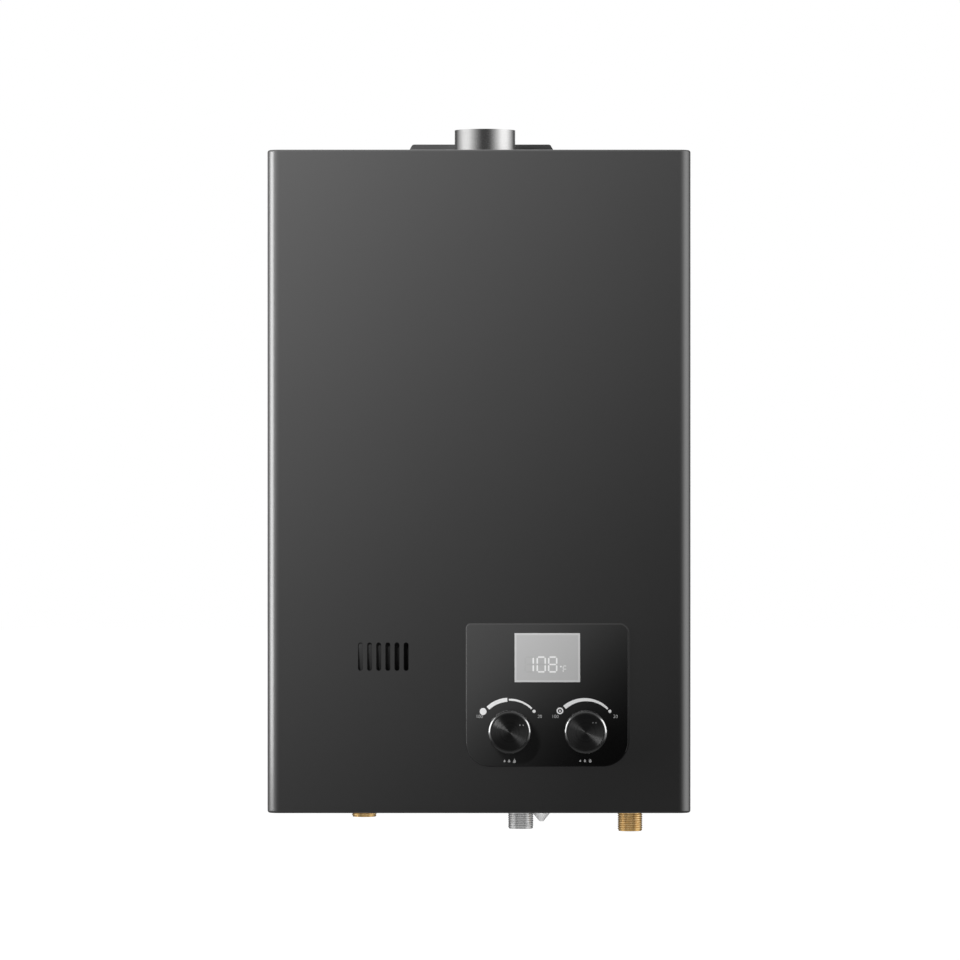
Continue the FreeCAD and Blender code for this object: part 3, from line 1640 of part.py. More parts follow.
def drain_plug():
    """Moulded plug: threaded stem, straight fluted grip through the floor and a tapered end."""
    thread_top = drain_block_bottom + drain_thread_length
    profile = [
        (0, drain_grip_tip),
        (drain_grip_tip_radius, drain_grip_tip),
        (drain_grip_radius, drain_grip_straight_end),
        (drain_grip_radius, drain_grip_top),
        (drain_thread_radius - running_clearance, drain_grip_top),
        (drain_thread_radius - running_clearance, thread_top - drain_thread_chamfer),
        (drain_thread_radius - drain_thread_chamfer, thread_top),
        (0, thread_top),
    ]
    plug = turned_z(profile, drain_x, drain_y)
    nose = edges_where(plug, lambda edge: level(edge, drain_grip_tip)
                       and isinstance(edge.Curve, Part.Circle))
    plug = plug.makeFillet(drain_grip_nose_radius, nose)
    flutes = []
    for number in range(drain_flute_count):
        angle = 2 * math.pi * number / drain_flute_count
        reach = drain_grip_radius + drain_flute_radius - drain_flute_depth
        flutes.append(
            rod_z(drain_grip_tip - 1, drain_flute_top, drain_x + reach * math.cos(angle),
                  drain_y + reach * math.sin(angle), drain_flute_radius)
        )
    return plug.cut(Part.makeCompound(flutes))


def drain_seal():
    """Flat rubber ring between the plug's shoulder and the block."""
    low = drain_grip_top + drain_seal_gap
    ring = rod_z(low, low + drain_seal_thickness, drain_x, drain_y, drain_seal_outer)
    hole = drain_thread_radius + socket_clearance
    return ring.cut(rod_z(low - 1, low + 4, drain_x, drain_y, hole))


# ---- Controls on the back wall ----

def control_box():
    """Moulded tray on the back wall for the control board, open at the front."""
    back = wall_inside - wall_seat_gap
    radii = [control_radius] * 4
    outer = rounded_plate(control_left, control_right, control_bottom, control_top, radii,
                          back - control_depth, back)
    tight = [control_radius - control_wall] * 4
    inner = rounded_plate(control_left + control_wall, control_right - control_wall,
                          control_bottom + control_wall, control_top - control_wall, tight,
                          back - control_depth - 1, back - control_wall)
    return outer.cut(inner)


def control_box_lid():
    """Lid with a locating rim that drops inside the tray."""
    rest = wall_inside - wall_seat_gap - control_depth
    plate = rounded_plate(control_left, control_right, control_bottom, control_top,
                          [control_radius] * 4, rest - control_lid, rest)
    inset = control_wall + panel_clearance
    rim = rounded_plate(control_left + inset, control_right - inset, control_bottom + inset,
                        control_top - inset, [control_lid_corner] * 4, rest, rest + control_lid_rim)
    inset += control_wall
    space = rounded_plate(control_left + inset, control_right - inset, control_bottom + inset,
                          control_top - inset, [control_lid_corner] * 4, rest,
                          rest + control_lid_rim + 1)
    return plate.fuse(rim.cut(space))


def pressure_switch():
    """Round diaphragm switch on the back wall, with a port at its front for the tube."""
    back = wall_inside - wall_seat_gap
    rim = pressure_switch_radius
    waist = rim - pressure_switch_step
    middle = back - pressure_switch_thickness / 2
    face = back - pressure_switch_thickness
    profile = [
        (0, back),
        (waist, back),
        (waist, middle + pressure_switch_seam),
        (rim, middle + pressure_switch_seam),
        (rim, middle - pressure_switch_seam),
        (waist, middle - pressure_switch_seam),
        (waist - pressure_switch_taper, face),
        (pressure_port_radius, face),
        (pressure_port_radius, face - pressure_port_length),
        (0, face - pressure_port_length),
    ]
    return turned_y(profile, pressure_switch_x, pressure_switch_height)


def pressure_tube():
    """Silicone tube from the switch's port to the side of the fan scroll."""
    face = wall_inside - wall_seat_gap - pressure_switch_thickness
    scroll_left = fan_x - scroll_step / 2 - scroll_first_radius
    points = [
        (pressure_switch_x, face - pressure_tube_end_gap, pressure_switch_height),
        (pressure_switch_x, middle_y, pressure_switch_height),
        (scroll_left - wall_seat_gap, middle_y, pressure_switch_height),
    ]
    wall = pressure_tube_radius - pressure_tube_bore
    return bent_tube(points, pressure_tube_bend, pressure_tube_radius, wall)


def overheat_thermostat():
    """Button thermostat against the exchanger's left side."""
    seat = -exchanger_half_width - wall_seat_gap
    cap = rod_x(seat - thermostat_thickness, seat, middle_y, thermostat_height,
                thermostat_radius - thermostat_rim)
    rim = rod_x(seat - thermostat_rim, seat, middle_y, thermostat_height, thermostat_radius)
    return cap.fuse(rim)


def cable_gland():
    """Threaded bush through the floor with its nut on the inside and a low head outside."""
    seat = chassis_floor + stub_seat_gap
    profile = [
        (gland_bore_radius, -gland_head_drop),
        (gland_head_radius - gland_chamfer, -gland_head_drop),
        (gland_head_radius, -gland_head_drop + gland_chamfer),
        (gland_head_radius, chassis_bottom - cover_clearance),
        (gland_radius, chassis_bottom - cover_clearance),
        (gland_radius, gland_top),
        (gland_bore_radius, gland_top),
    ]
    bush = turned_z(profile, gland_x, gland_y)
    nut = hexagon(gland_x, gland_y, seat, seat + gland_nut_height, gland_nut_flats)
    nut = nut.cut(rod_z(0, gland_top, gland_x, gland_y, gland_bore_radius + 1))
    return bush.fuse(nut).removeSplitter()


def z_bracket(x, y_near, z_low):
    """Folded strip from a piece's back at y_near to the back wall, a foot at either end."""
    far = wall_inside - wall_seat_gap
    near = y_near + wall_seat_gap
    half = bracket_width / 2
    top = z_low + bracket_foot
    near_foot = box(x - half, x + half, near, near + bracket_sheet, z_low, top)
    web = box(x - half, x + half, near, far, top - bracket_sheet, top)
    far_foot = box(x - half, x + half, far - bracket_sheet, far, top - bracket_sheet,
                   top + bracket_foot)
    return near_foot.multiFuse([web, far_foot]).removeSplitter()


def support_brackets():
    return [
        z_bracket(-exchanger_bracket_x, exchanger_back, exchanger_bracket_height),
        z_bracket(exchanger_bracket_x, exchanger_back, exchanger_bracket_height),
        z_bracket(valve_bracket_x, gas_valve_back, valve_bracket_height),
    ]


os.makedirs("parts", exist_ok=True)

save("front_cover", front_cover())
save("back_chassis", back_chassis())
save("case_screws", *case_screws())
save("vent_baffle", vent_baffle())

save("control_fascia", control_fascia())
save("display_lens", display_lens())
save("lcd_module", lcd_module())
save("display_board", display_board())
for knob_name, knob_x in (("power", power_knob_x), ("gas", gas_knob_x)):
    save(knob_name + "_knob", knob(knob_x))
    save(knob_name + "_knob_face", knob_face(knob_x))
    save(knob_name + "_spindle", spindle(knob_x))

save("flue_spigot", flue_spigot())
save("flue_gasket", flue_gasket())
save("fan_scroll", fan_scroll())
save("fan_scroll_cover", fan_scroll_cover())
save("fan_motor", fan_motor())
save("fan_impeller", fan_impeller())
save("motor_shaft", motor_shaft())
save("flue_hood", flue_hood())

save("heat_exchanger_shell", heat_exchanger_shell())
save("heat_exchanger_fins", *heat_exchanger_fins())
save("heat_exchanger_tubes", heat_exchanger_tubes())
save("cold_pipe", cold_pipe())
save("water_coil", water_coil())
save("hot_outlet_pipe", hot_outlet_pipe())

save("burner_bars", *burner_bars())
save("burner_frame", burner_frame())
save("gas_manifold", gas_manifold())
save("gas_jets", *gas_jets())
save("electrode_ceramics", *electrode_ceramics())
save("electrode_wires", *electrode_wires())

save("gas_inlet_fitting",
     pipe_stub(gas_inlet_x, gas_inlet_drop, valve_stub_top, valve_socket_radius,
               gas_thread_radius))
save("water_inlet_fitting",
     pipe_stub(water_inlet_x, water_inlet_drop, valve_stub_top, valve_socket_radius))
save("hot_outlet_fitting",
     pipe_stub(hot_outlet_x, hot_outlet_drop, hot_stub_top, tube_radius + socket_clearance))
save("inlet_strainer", inlet_strainer())

save("gas_valve_body", gas_valve_body())
save("gas_plunger", gas_plunger())
save("plunger_spring", plunger_spring())
save("solenoid", solenoid())
save("solenoid_plunger", solenoid_plunger())
save("link_rod", link_rod())
save("water_valve_cover", water_valve_cover())
save("valve_diaphragm", valve_diaphragm())
save("water_valve_body", water_valve_body())
save("microswitch", microswitch())
save("microswitch_lever", microswitch_lever())

save("drain_branch", drain_branch())
save("drain_plug", drain_plug())
save("drain_seal", drain_seal())

save("control_box", control_box())
save("control_box_lid", control_box_lid())
save("pressure_switch", pressure_switch())
save("pressure_tube", pressure_tube())
save("overheat_thermostat", overheat_thermostat())
save("cable_gland", cable_gland())
save("support_brackets", *support_brackets())
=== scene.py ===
import json
import math

import bmesh
import bpy
from mathutils import Matrix, Vector


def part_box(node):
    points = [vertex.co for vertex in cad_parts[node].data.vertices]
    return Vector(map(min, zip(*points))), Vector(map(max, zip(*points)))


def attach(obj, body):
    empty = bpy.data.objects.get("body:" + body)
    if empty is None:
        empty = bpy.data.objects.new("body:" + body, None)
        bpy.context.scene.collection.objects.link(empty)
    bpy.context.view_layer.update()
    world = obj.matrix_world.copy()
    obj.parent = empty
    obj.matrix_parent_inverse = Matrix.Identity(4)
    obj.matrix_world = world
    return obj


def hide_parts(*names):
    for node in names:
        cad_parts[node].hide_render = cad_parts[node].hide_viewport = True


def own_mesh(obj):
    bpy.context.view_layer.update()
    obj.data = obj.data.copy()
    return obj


# Looks of a wall-hung gas water heater: paint, metals, dial marks, display, threads and screws.
# Everything is in metres in the frame's axes: +X right, +Y into the wall, +Z up.

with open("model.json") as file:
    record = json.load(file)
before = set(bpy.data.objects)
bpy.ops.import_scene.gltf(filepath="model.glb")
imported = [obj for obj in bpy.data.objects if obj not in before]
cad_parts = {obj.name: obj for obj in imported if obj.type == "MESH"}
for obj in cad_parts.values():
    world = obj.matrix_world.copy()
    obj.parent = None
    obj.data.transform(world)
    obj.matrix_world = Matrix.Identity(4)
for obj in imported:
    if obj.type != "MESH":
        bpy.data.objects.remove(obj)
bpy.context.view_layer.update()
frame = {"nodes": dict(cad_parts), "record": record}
nodes = frame["nodes"]
mm = 0.001

# ---- Places taken from the frame ----
cover_low, cover_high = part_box("front_cover")
fascia_low, fascia_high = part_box("control_fascia")
lens_low, lens_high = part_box("display_lens")
power_low, power_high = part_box("power_knob_face")
gas_low, gas_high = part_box("gas_knob_face")
spigot_low, spigot_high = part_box("flue_spigot")

case_bottom = cover_low.z
case_front = cover_low.y
panel_face = fascia_low.y
knob_centres = {
    "power": Vector((
        (power_low.x + power_high.x) / 2, power_low.y, (power_low.z + power_high.z) / 2)),
    "gas": Vector((
        (gas_low.x + gas_high.x) / 2, gas_low.y, (gas_low.z + gas_high.z) / 2)),
}
print_thickness = 0.06 * mm
dot_steps = 20
weld_distance = 1e-7
crease_angle = math.radians(32)
grain_low = 0.32
grain_high = 0.68

# ---- Camera and stage ----
camera_place = Vector((0.83 * mm, -4.740, -16.1 * mm))
camera_lens = 208.2
camera_clip = 60
floor_height = -0.55
floor_size = 30.0
floor_lift = 0.85

# ---- Studio light, as shares of white ----
# The panels' and the backdrop's edges are Y parts of a level direction, the rises are Z parts.
panel_front_edge = (-0.97, -0.42)
panel_back_edge = (0.0, 0.75)
panel_middle = 0.18
panel_rise = (0.30, 0.66)
backdrop_edge = (0.93, 0.985)
steep_rise = (0.45, 0.95)
left_panel = 1.15
right_panel = 1.40
overhead_light = 0.35
floor_light = 0.13
room_light = 0.069
diffuse_share = 0.4

# ---- Lamps: place, point aimed at, width and height, and power in watts ----
lamps = {
    "key_light": ((-0.51, case_front - 1.12, 0.48), (-1.35, case_front, 1.47), (0.35, 0.35), 157.0),
    "left_strip": ((-0.616, -0.234, 0.04), (-0.176, case_front, 0.04), (0.30, 0.65), 2.15),
    "stub_light": ((0.03, -1.25, -0.55), (0.03, -0.1, -0.3), (1.4, 0.7), 2.1),
    "print_light": ((0.0, -1.4, -0.5), (0.05, -0.1, -0.25), (0.5, 0.5), 8.0),
    "knob_glint": ((-0.50, -0.95, 0.12), (0.05, -0.15, -0.22), (0.10, 0.30), 3.2),
    "left_rim_light": ((-0.62, -0.28, -0.06), (0.05, -0.15, -0.20), (0.50, 0.40), 4.0),
    "right_rim_light": ((0.62, -0.28, -0.06), (0.05, -0.15, -0.20), (0.50, 0.40), 4.0),
    "plug_light": ((0.05, -1.4, -0.5), (0.05, -0.08, -0.30), (0.5, 0.5), 14.5),
}
lamps_without_reflection = ("key_light", "print_light", "plug_light")

# ---- Threads and stubs ----
thread_pitch = 1.814 * mm
thread_forms = {
    "gas_inlet_fitting": (10.67 * mm, 10.05 * mm),
    "water_inlet_fitting": (10.48 * mm, 9.75 * mm),
    "hot_outlet_fitting": (10.48 * mm, 9.75 * mm),
}
thread_crest_width = 0.62 * mm
thread_base_width = 1.62 * mm
thread_steps = 40
worn_crest = 0.15 * mm
root_dark_share = 0.80
thread_bury = 0.25 * mm
thread_lead_in = 0.1 * mm
thread_top_drop = 0.6 * mm
root_top_drop = 1.3 * mm
root_chamfer = (0.2 * mm, 0.25 * mm)
neck_radius = 10.0 * mm
stub_bore = 7.0 * mm
stub_steps = 64
bore_chamfer = 0.7 * mm
end_chamfer = 1.1 * mm
socket_depth = 12.0 * mm
socket_wider = 0.6 * mm
hot_socket_radius = 6.2 * mm
hexagon_flats = 27.0 * mm
hexagon_low = 2.6 * mm
hexagon_high = 12.1 * mm
hexagon_bevel = 0.5 * mm

# ---- Screws ----
screw_head_radius = 3.8 * mm
screw_head_height = 1.4 * mm
screw_shank_radius = 1.85 * mm
screw_crown = (
    (screw_head_radius, 0.45 * mm), (3.55 * mm, 0.85 * mm), (3.1 * mm, 1.17 * mm))
screw_crown_top = 2.4 * mm
screw_steps = 24
recess_arm = 1.75 * mm
recess_half_width = 0.42 * mm
recess_depth = 0.9 * mm
recess_taper = 0.55
side_screw_turn = (20, 37)
flange_screw_turn = (15, 50, 20)
side_screw_heights = (60.0 * mm, 490.0 * mm)
side_screw_length = 7.0 * mm
side_screw_y = -9.0 * mm
flange_screw_length = 5.5 * mm
flange_screw_reach = 31 * mm

# ---- Display: it reads 108 F, in segments lettered a to g ----
digit_height = 13.5 * mm
digit_width = 7.9 * mm
digit_stroke = 1.3 * mm
digit_gap_share = 0.27
digit_right_edges = (45.6 * mm, 55.5 * mm, 65.0 * mm)
digit_base = 116.6 * mm
unit_height = 5.8 * mm
unit_width = 3.4 * mm
unit_stroke = 0.6 * mm
unit_left = 69.4 * mm
lit_segments = ("bc", "abcdef", "abcdefg")
unit_segments = "aefg"
degree_radius = 0.75 * mm
degree_gap = 1.6 * mm

# ---- Control panel's lip ----
panel_radii = (3.0 * mm, 7.0 * mm, 21.0 * mm, 19.0 * mm)
panel_lip_left = 0.6 * mm
panel_lip_right = 1.2 * mm
panel_lip_low = 0.2 * mm
panel_lip_high = 1.0 * mm
panel_lip_height = 0.3 * mm
panel_lip_overlap = 0.2 * mm
panel_lip_rounding = 1 * mm

# ---- Knobs ----
knob_radius = 18.0 * mm
knob_face_radius = 15.0 * mm
knob_rim_depth = 3.4 * mm
knob_inlay = 0.3 * mm
knob_inside = 4.5 * mm
knob_wall = 2.2 * mm
knob_hub_radius = 6.0 * mm
knob_steps = 96
rim_steps = 12
spindle_bore = 3.05 * mm
face_crowns = {"power": 0.8 * mm, "gas": -0.8 * mm}
pip_radius = 0.5 * mm
pip_thickness = 0.02 * mm
pip_places = {
    "power": ((35.0, 10.4 * mm), (27.5, 12.6 * mm)),
    "gas": ((53.0, 9.9 * mm), (43.0, 11.5 * mm)),
}

# ---- Dial marks, measured from each knob's centre, angles in degrees ----
dial_radius = 26.3 * mm
label_reach = 25.0 * mm
label_rise = 12.3 * mm
symbol_drop = 24.3 * mm
label_height = 2.9 * mm
symbol_row = ((-4.2 * mm, 0.62), (-0.4 * mm, 0.80), (4.0 * mm, 1.0))
end_dot = {"radius": 1.33 * mm, "steps": 24, "angle": 39.4}
power_dot = {"radius": 2.85 * mm, "steps": 40, "angle": 143, "reach": 27.4 * mm}
gas_ring = {
    "radius": 2.25 * mm, "width": 1.1 * mm, "steps": 40, "angle": 141, "reach": 27.1 * mm}
gas_ring_drop = 0.62
dial_arcs = {
    "power": (
        {"start": 94, "end": 133, "width_start": 3.3 * mm, "width_end": 3.3 * mm},
        {"start": 45.5, "end": 91.2, "width_start": 1.5 * mm, "width_end": 1.7 * mm},
    ),
    "gas": (
        {"start": 45, "end": 131, "width_start": 1.6 * mm, "width_end": 3.5 * mm, "steps": 60},
    ),
}
flame_outline = (
    (0.1, -1.85), (0.85, -1.6), (1.3, -0.9), (1.25, -0.1), (0.85, 0.6), (0.75, 0.05),
    (0.4, 0.75), (0.45, 1.35), (0.1, 1.9), (-0.15, 1.2), (-0.65, 0.5), (-1.1, -0.2),
    (-1.25, -0.95), (-0.8, -1.6),
)
drop_steps = 24
drop_radius = 1.2 * mm
drop_sink = 0.4 * mm
drop_stretch = 1.65
drop_taper = 0.35
letter_scale = 1.35


# ======== Meshes ========

def merge(bm):
    bmesh.ops.remove_doubles(bm, verts=bm.verts, dist=weld_distance)


def lathe(bm, profile, steps):
    """Turns (radius, height) points about the Z axis; a point at radius 0 becomes a pole."""
    verts = [bm.verts.new((radius, 0, height)) for radius, height in profile]
    edges = [bm.edges.new(pair) for pair in zip(verts, verts[1:])]
    bmesh.ops.spin(bm, geom=verts + edges, axis=(0, 0, 1), cent=(0, 0, 0), dvec=(0, 0, 0),
                   angle=math.tau, steps=steps, use_merge=True, use_duplicate=False)
    merge(bm)


def close_profile(profile):
    return profile + profile[:1]


def add_mesh(bm, source):
    """Adds a finished shape to another and frees it."""
    mesh = bpy.data.meshes.new("scratch")
    source.to_mesh(mesh)
    source.free()
    bm.from_mesh(mesh)
    bpy.data.meshes.remove(mesh)


def piece(bm, name, body, material):
    """Turns a shape into an object that rides on a body and takes its finish from a slot."""
    bmesh.ops.recalc_face_normals(bm, faces=bm.faces)
    for face in bm.faces:
        face.smooth = True
    for edge in bm.edges:
        edge.smooth = edge.calc_face_angle(math.pi) < crease_angle
    mesh = bpy.data.meshes.new(name)
    bm.to_mesh(mesh)
    bm.free()
    obj = bpy.data.objects.new(name, mesh)
    bpy.context.scene.collection.objects.link(obj)
    mesh.materials.append(material)
    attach(obj, body)
    return obj


def thicken(bm, depth):
    """Gives flat faces in the XZ plane a thickness towards the front."""
    made = bmesh.ops.extrude_face_region(bm, geom=bm.faces[:])
    verts = [item for item in made["geom"] if isinstance(item, bmesh.types.BMVert)]
    bmesh.ops.translate(bm, verts=verts, vec=(0, -depth, 0))


def lay_flat(bm, x, z, y=None):
    """Moves a shape drawn in the XZ plane on to the panel's face, or to another depth."""
    bmesh.ops.translate(bm, verts=bm.verts, vec=(x, panel_face if y is None else y, z))


def disc(radius, steps):
    bm = bmesh.new()
    bmesh.ops.create_circle(bm, cap_ends=True, segments=steps, radius=radius,
                            matrix=Matrix.Rotation(math.radians(90), 4, "X"))
    return bm


def arc_band(radius, start, end, width_start, width_end, steps=36):
    """Part of a ring about the origin in the XZ plane, between two angles in degrees."""
    bm = bmesh.new()
    turn_start = math.radians(start)
    sweep = math.radians(end - start)
    reach = Vector((math.cos(turn_start), 0, math.sin(turn_start)))
    verts = [bm.verts.new(reach * (radius - mm)), bm.verts.new(reach * (radius + mm))]
    edge = bm.edges.new(verts)
    bmesh.ops.spin(bm, geom=verts + [edge], axis=(0, -1, 0), cent=(0, 0, 0), dvec=(0, 0, 0),
                   angle=sweep, steps=steps, use_merge=False, use_duplicate=False)
    for vert in bm.verts:
        angle = math.atan2(vert.co.z, vert.co.x)
        share = min(max((angle - turn_start) / sweep, 0), 1)
        half = (width_start + (width_end - width_start) * share) / 2
        side = 1 if vert.co.length > radius else -1
        vert.co = vert.co.normalized() * (radius + side * half)
    return bm


# ---- Stubs with a rolled thread ----

def thread_ridge(low, high, thread_crest, thread_root):
    """One closed helical ridge that starts in the end chamfer and fades out under the floor."""
    bm = bmesh.new()
    inside = thread_root - thread_bury
    corners = [
        (inside, -thread_base_width / 2),
        (thread_crest, -thread_crest_width / 2),
        (thread_crest, thread_crest_width / 2),
        (inside, thread_base_width / 2),
    ]
    start = low + thread_base_width / 2 + thread_lead_in
    verts = [bm.verts.new((radius, 0, start + height)) for radius, height in corners]
    edges = [bm.edges.new((verts[i], verts[(i + 1) % 4])) for i in range(4)]
    turns = (high - start) / thread_pitch
    bmesh.ops.spin(bm, geom=verts + edges, axis=(0, 0, 1), cent=(0, 0, 0),
                   dvec=(0, 0, thread_pitch / thread_steps), angle=math.tau * turns,
                   steps=round(turns * thread_steps), use_merge=False, use_duplicate=False)
    bmesh.ops.holes_fill(bm, edges=[edge for edge in bm.edges if edge.is_boundary])
    for vert in bm.verts:
        radius = math.hypot(vert.co.x, vert.co.y)
        chamfer = thread_crest - end_chamfer + (vert.co.z - low)
        limit = max(min(thread_crest, chamfer), inside)
        if radius > limit:
            vert.co.x *= limit / radius
            vert.co.y *= limit / radius
    return bm


def threaded_stub(node, material):
    """Stub with its thread below the floor, the hexagon on the floor and the neck above."""
    low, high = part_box(node)
    centre = (low + high) / 2
    thread_crest, thread_root = thread_forms[node]
    thread_top = case_bottom - thread_top_drop
    socket = hot_socket_radius if node == "hot_outlet_fitting" else stub_bore + socket_wider
    profile = [
        (stub_bore, low.z + bore_chamfer),
        (stub_bore + bore_chamfer, low.z),
        (thread_root - root_chamfer[0], low.z),
        (thread_root, low.z + root_chamfer[1]),
        (thread_root, case_bottom - root_top_drop),
        (neck_radius, thread_top),
        (neck_radius, high.z),
        (socket, high.z),
        (socket, high.z - socket_depth),
        (stub_bore, high.z - socket_depth),
    ]
    bm = bmesh.new()
    lathe(bm, close_profile(profile), stub_steps)
    add_mesh(bm, thread_ridge(low.z, thread_top, thread_crest, thread_root))
    nut = bmesh.new()
    corner = hexagon_flats / math.sqrt(3)
    bmesh.ops.create_cone(nut, cap_ends=True, segments=6, radius1=corner, radius2=corner,
                          depth=hexagon_high - hexagon_low)
    bmesh.ops.bevel(nut, geom=nut.edges[:], offset=hexagon_bevel, affect="EDGES", segments=2,
                    profile=0.5, material=-1)
    bmesh.ops.translate(nut, verts=nut.verts,
                        vec=(0, 0, case_bottom + (hexagon_low + hexagon_high) / 2))
    add_mesh(bm, nut)
    bmesh.ops.translate(bm, verts=bm.verts, vec=(centre.x, centre.y, 0))
    stub = piece(bm, "threaded_" + node, "case", material)
    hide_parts(node)
    return stub


# ---- Screws ----

def screw_shape(length):
    """Pan-head screw on the Z axis with a cross recess; its head stands on z = 0."""
    bm = bmesh.new()
    lathe(bm, [
        (0, -length),
        (screw_shank_radius, -length),
        (screw_shank_radius, 0),
        (screw_head_radius, 0),
        *screw_crown,
        (screw_crown_top, screw_head_height),
    ], screw_steps)
    top_ring = [edge for edge in bm.edges if edge.is_boundary]
    half = recess_half_width
    quarter = [(recess_arm, -half), (recess_arm, half), (half, half)]
    corners = []
    for turn in range(4):
        rotation = Matrix.Rotation(turn * math.pi / 2, 3, "Z")
        corners += [rotation @ Vector((x, y, screw_head_height)) for x, y in quarter]
    verts = [bm.verts.new(corner) for corner in corners]
    cross = [bm.edges.new((verts[i], verts[(i + 1) % len(verts)])) for i in range(len(verts))]
    bmesh.ops.subdivide_edges(bm, edges=cross, cuts=1)
    cross = [edge for edge in bm.edges if edge.is_wire]
    bmesh.ops.bridge_loops(bm, edges=top_ring + cross)
    recess = bmesh.ops.extrude_edge_only(bm, edges=cross)
    low = [item for item in recess["geom"] if isinstance(item, bmesh.types.BMVert)]
    bmesh.ops.translate(bm, verts=low, vec=(0, 0, -recess_depth))
    for vert in low:
        vert.co.x *= recess_taper
        vert.co.y *= recess_taper
    bmesh.ops.holes_fill(bm, edges=[edge for edge in bm.edges if edge.is_boundary])
    return bm


def case_screws(material):
    """The cover's side screws and the four in the spigot's flange, where the frame has them."""
    bm = bmesh.new()
    flange_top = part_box("case_screws")[1].z - screw_head_height
    for side in (-1, 1):
        for height in side_screw_heights:
            screw = screw_shape(side_screw_length)
            turn = Matrix.Rotation(side * math.radians(90), 4, "Y")
            degrees = side_screw_turn[0] + side_screw_turn[1] * side + height / mm
            spin = Matrix.Rotation(math.radians(degrees), 4, "Z")
            place = Matrix.Translation((side * cover_high.x, side_screw_y, case_bottom + height))
            bmesh.ops.transform(screw, matrix=place @ turn @ spin, verts=screw.verts)
            add_mesh(bm, screw)
    spigot_centre = (spigot_low + spigot_high) / 2
    for side_x in (-1, 1):
        for side_y in (-1, 1):
            screw = screw_shape(flange_screw_length)
            start, turn_x, turn_y = flange_screw_turn
            degrees = start + turn_x * side_x + turn_y * side_y
            spin = Matrix.Rotation(math.radians(degrees), 4, "Z")
            place = Matrix.Translation((spigot_centre.x + side_x * flange_screw_reach,
                                        spigot_centre.y + side_y * flange_screw_reach,
                                        flange_top))
            bmesh.ops.transform(screw, matrix=place @ spin, verts=screw.verts)
            add_mesh(bm, screw)
    screws = piece(bm, "cross_head_screws", "case", material)
    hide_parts("case_screws")


# ---- Display ----

def segment_bar(x_from, z_from, x_to, z_to, width, gap):
    """One display segment: a bar with pointed ends between two points."""
    start = Vector((x_from, 0, z_from))
    end = Vector((x_to, 0, z_to))
    along = (end - start).normalized()
    across = Vector((-along.z, 0, along.x)) * width / 2
    start += along * gap
    end -= along * gap
    point = along * width / 2
    bm = bmesh.new()
    corners = (start, start + point + across, end - point + across, end, end - point - across,
               start + point - across)
    bm.faces.new([bm.verts.new(corner) for corner in corners])
    return bm


def segment_digit(right, low, size, stroke, lit):
    """The chosen segments of one digit, as letters a to g; size is its width and height."""
    width, height = size
    left = right - width + stroke / 2
    right -= stroke / 2
    bottom = low + stroke / 2
    top = low + height - stroke / 2
    middle = (bottom + top) / 2
    ends = {
        "a": (left, top, right, top),
        "b": (right, middle, right, top),
        "c": (right, bottom, right, middle),
        "d": (left, bottom, right, bottom),
        "e": (left, bottom, left, middle),
        "f": (left, middle, left, top),
        "g": (left, middle, right, middle),
    }
    bm = bmesh.new()
    for letter in lit:
        add_mesh(bm, segment_bar(*ends[letter], stroke, stroke * digit_gap_share))
    return bm


def display_readout(lit_material, ghost_material):
    """Three digits and the unit, with the segments that are off faintly behind them."""
    lit = bmesh.new()
    ghost = bmesh.new()
    base = case_bottom + digit_base
    digit = (digit_width, digit_height)
    for right, letters in zip(digit_right_edges, lit_segments):
        add_mesh(lit, segment_digit(right, base, digit, digit_stroke, letters))
        dark = [letter for letter in "abcdefg" if letter not in letters]
        if dark:
            add_mesh(ghost, segment_digit(right, base, digit, digit_stroke, dark))
    unit = (unit_width, unit_height)
    add_mesh(lit, segment_digit(unit_left + unit_width, base, unit, unit_stroke, unit_segments))
    degree = disc(degree_radius, dot_steps)
    bmesh.ops.translate(degree, verts=degree.verts,
                        vec=(unit_left - degree_gap, 0, base + unit_height - degree_radius))
    add_mesh(lit, degree)
    made = []
    for bm, name, material in ((lit, "display_digits", lit_material),
                               (ghost, "display_ghost", ghost_material)):
        thicken(bm, print_thickness)
        lay_flat(bm, 0, 0, lens_low.y)
        made.append(piece(bm, name, "case", material))
    return made


# ---- Panel rim and knob shells ----

def rounded_corners(left, right, low, high, radii, steps=10):
    """Points round an upright rectangle; radii go from the top left corner clockwise."""
    corners = ((left, high, 180, 1, -1), (right, high, 90, -1, -1),
               (right, low, 0, -1, 1), (left, low, -90, 1, 1))
    points = []
    for (x, z, start, inward_x, inward_z), radius in zip(corners, radii):
        for step in range(steps + 1):
            turn = math.radians(start - 90 * step / steps)
            points.append((x + inward_x * radius + radius * math.cos(turn), 0,
                           z + inward_z * radius + radius * math.sin(turn)))
    return points


def panel_rim(material):
    """Thin lip round the control panel that covers the edge of its opening."""
    grown = panel_lip_left, panel_lip_right, panel_lip_low, panel_lip_high
    bm = bmesh.new()
    loops = []
    for share in (0.0, 1.0):
        edge = (share - 1) * panel_lip_overlap
        left, right, low, high = [edge + share * size for size in grown]
        radii = [radius + share * panel_lip_rounding for radius in panel_radii]
        points = rounded_corners(fascia_low.x - left, fascia_high.x + right,
                                 fascia_low.z - low, fascia_high.z + high, radii)
        verts = [bm.verts.new(point) for point in points]
        loops += [bm.edges.new((verts[i - 1], verts[i])) for i in range(len(verts))]
    bmesh.ops.bridge_loops(bm, edges=loops)
    thicken(bm, panel_lip_height)
    lay_flat(bm, 0, 0, case_front)
    piece(bm, "panel_lip", "case", material)


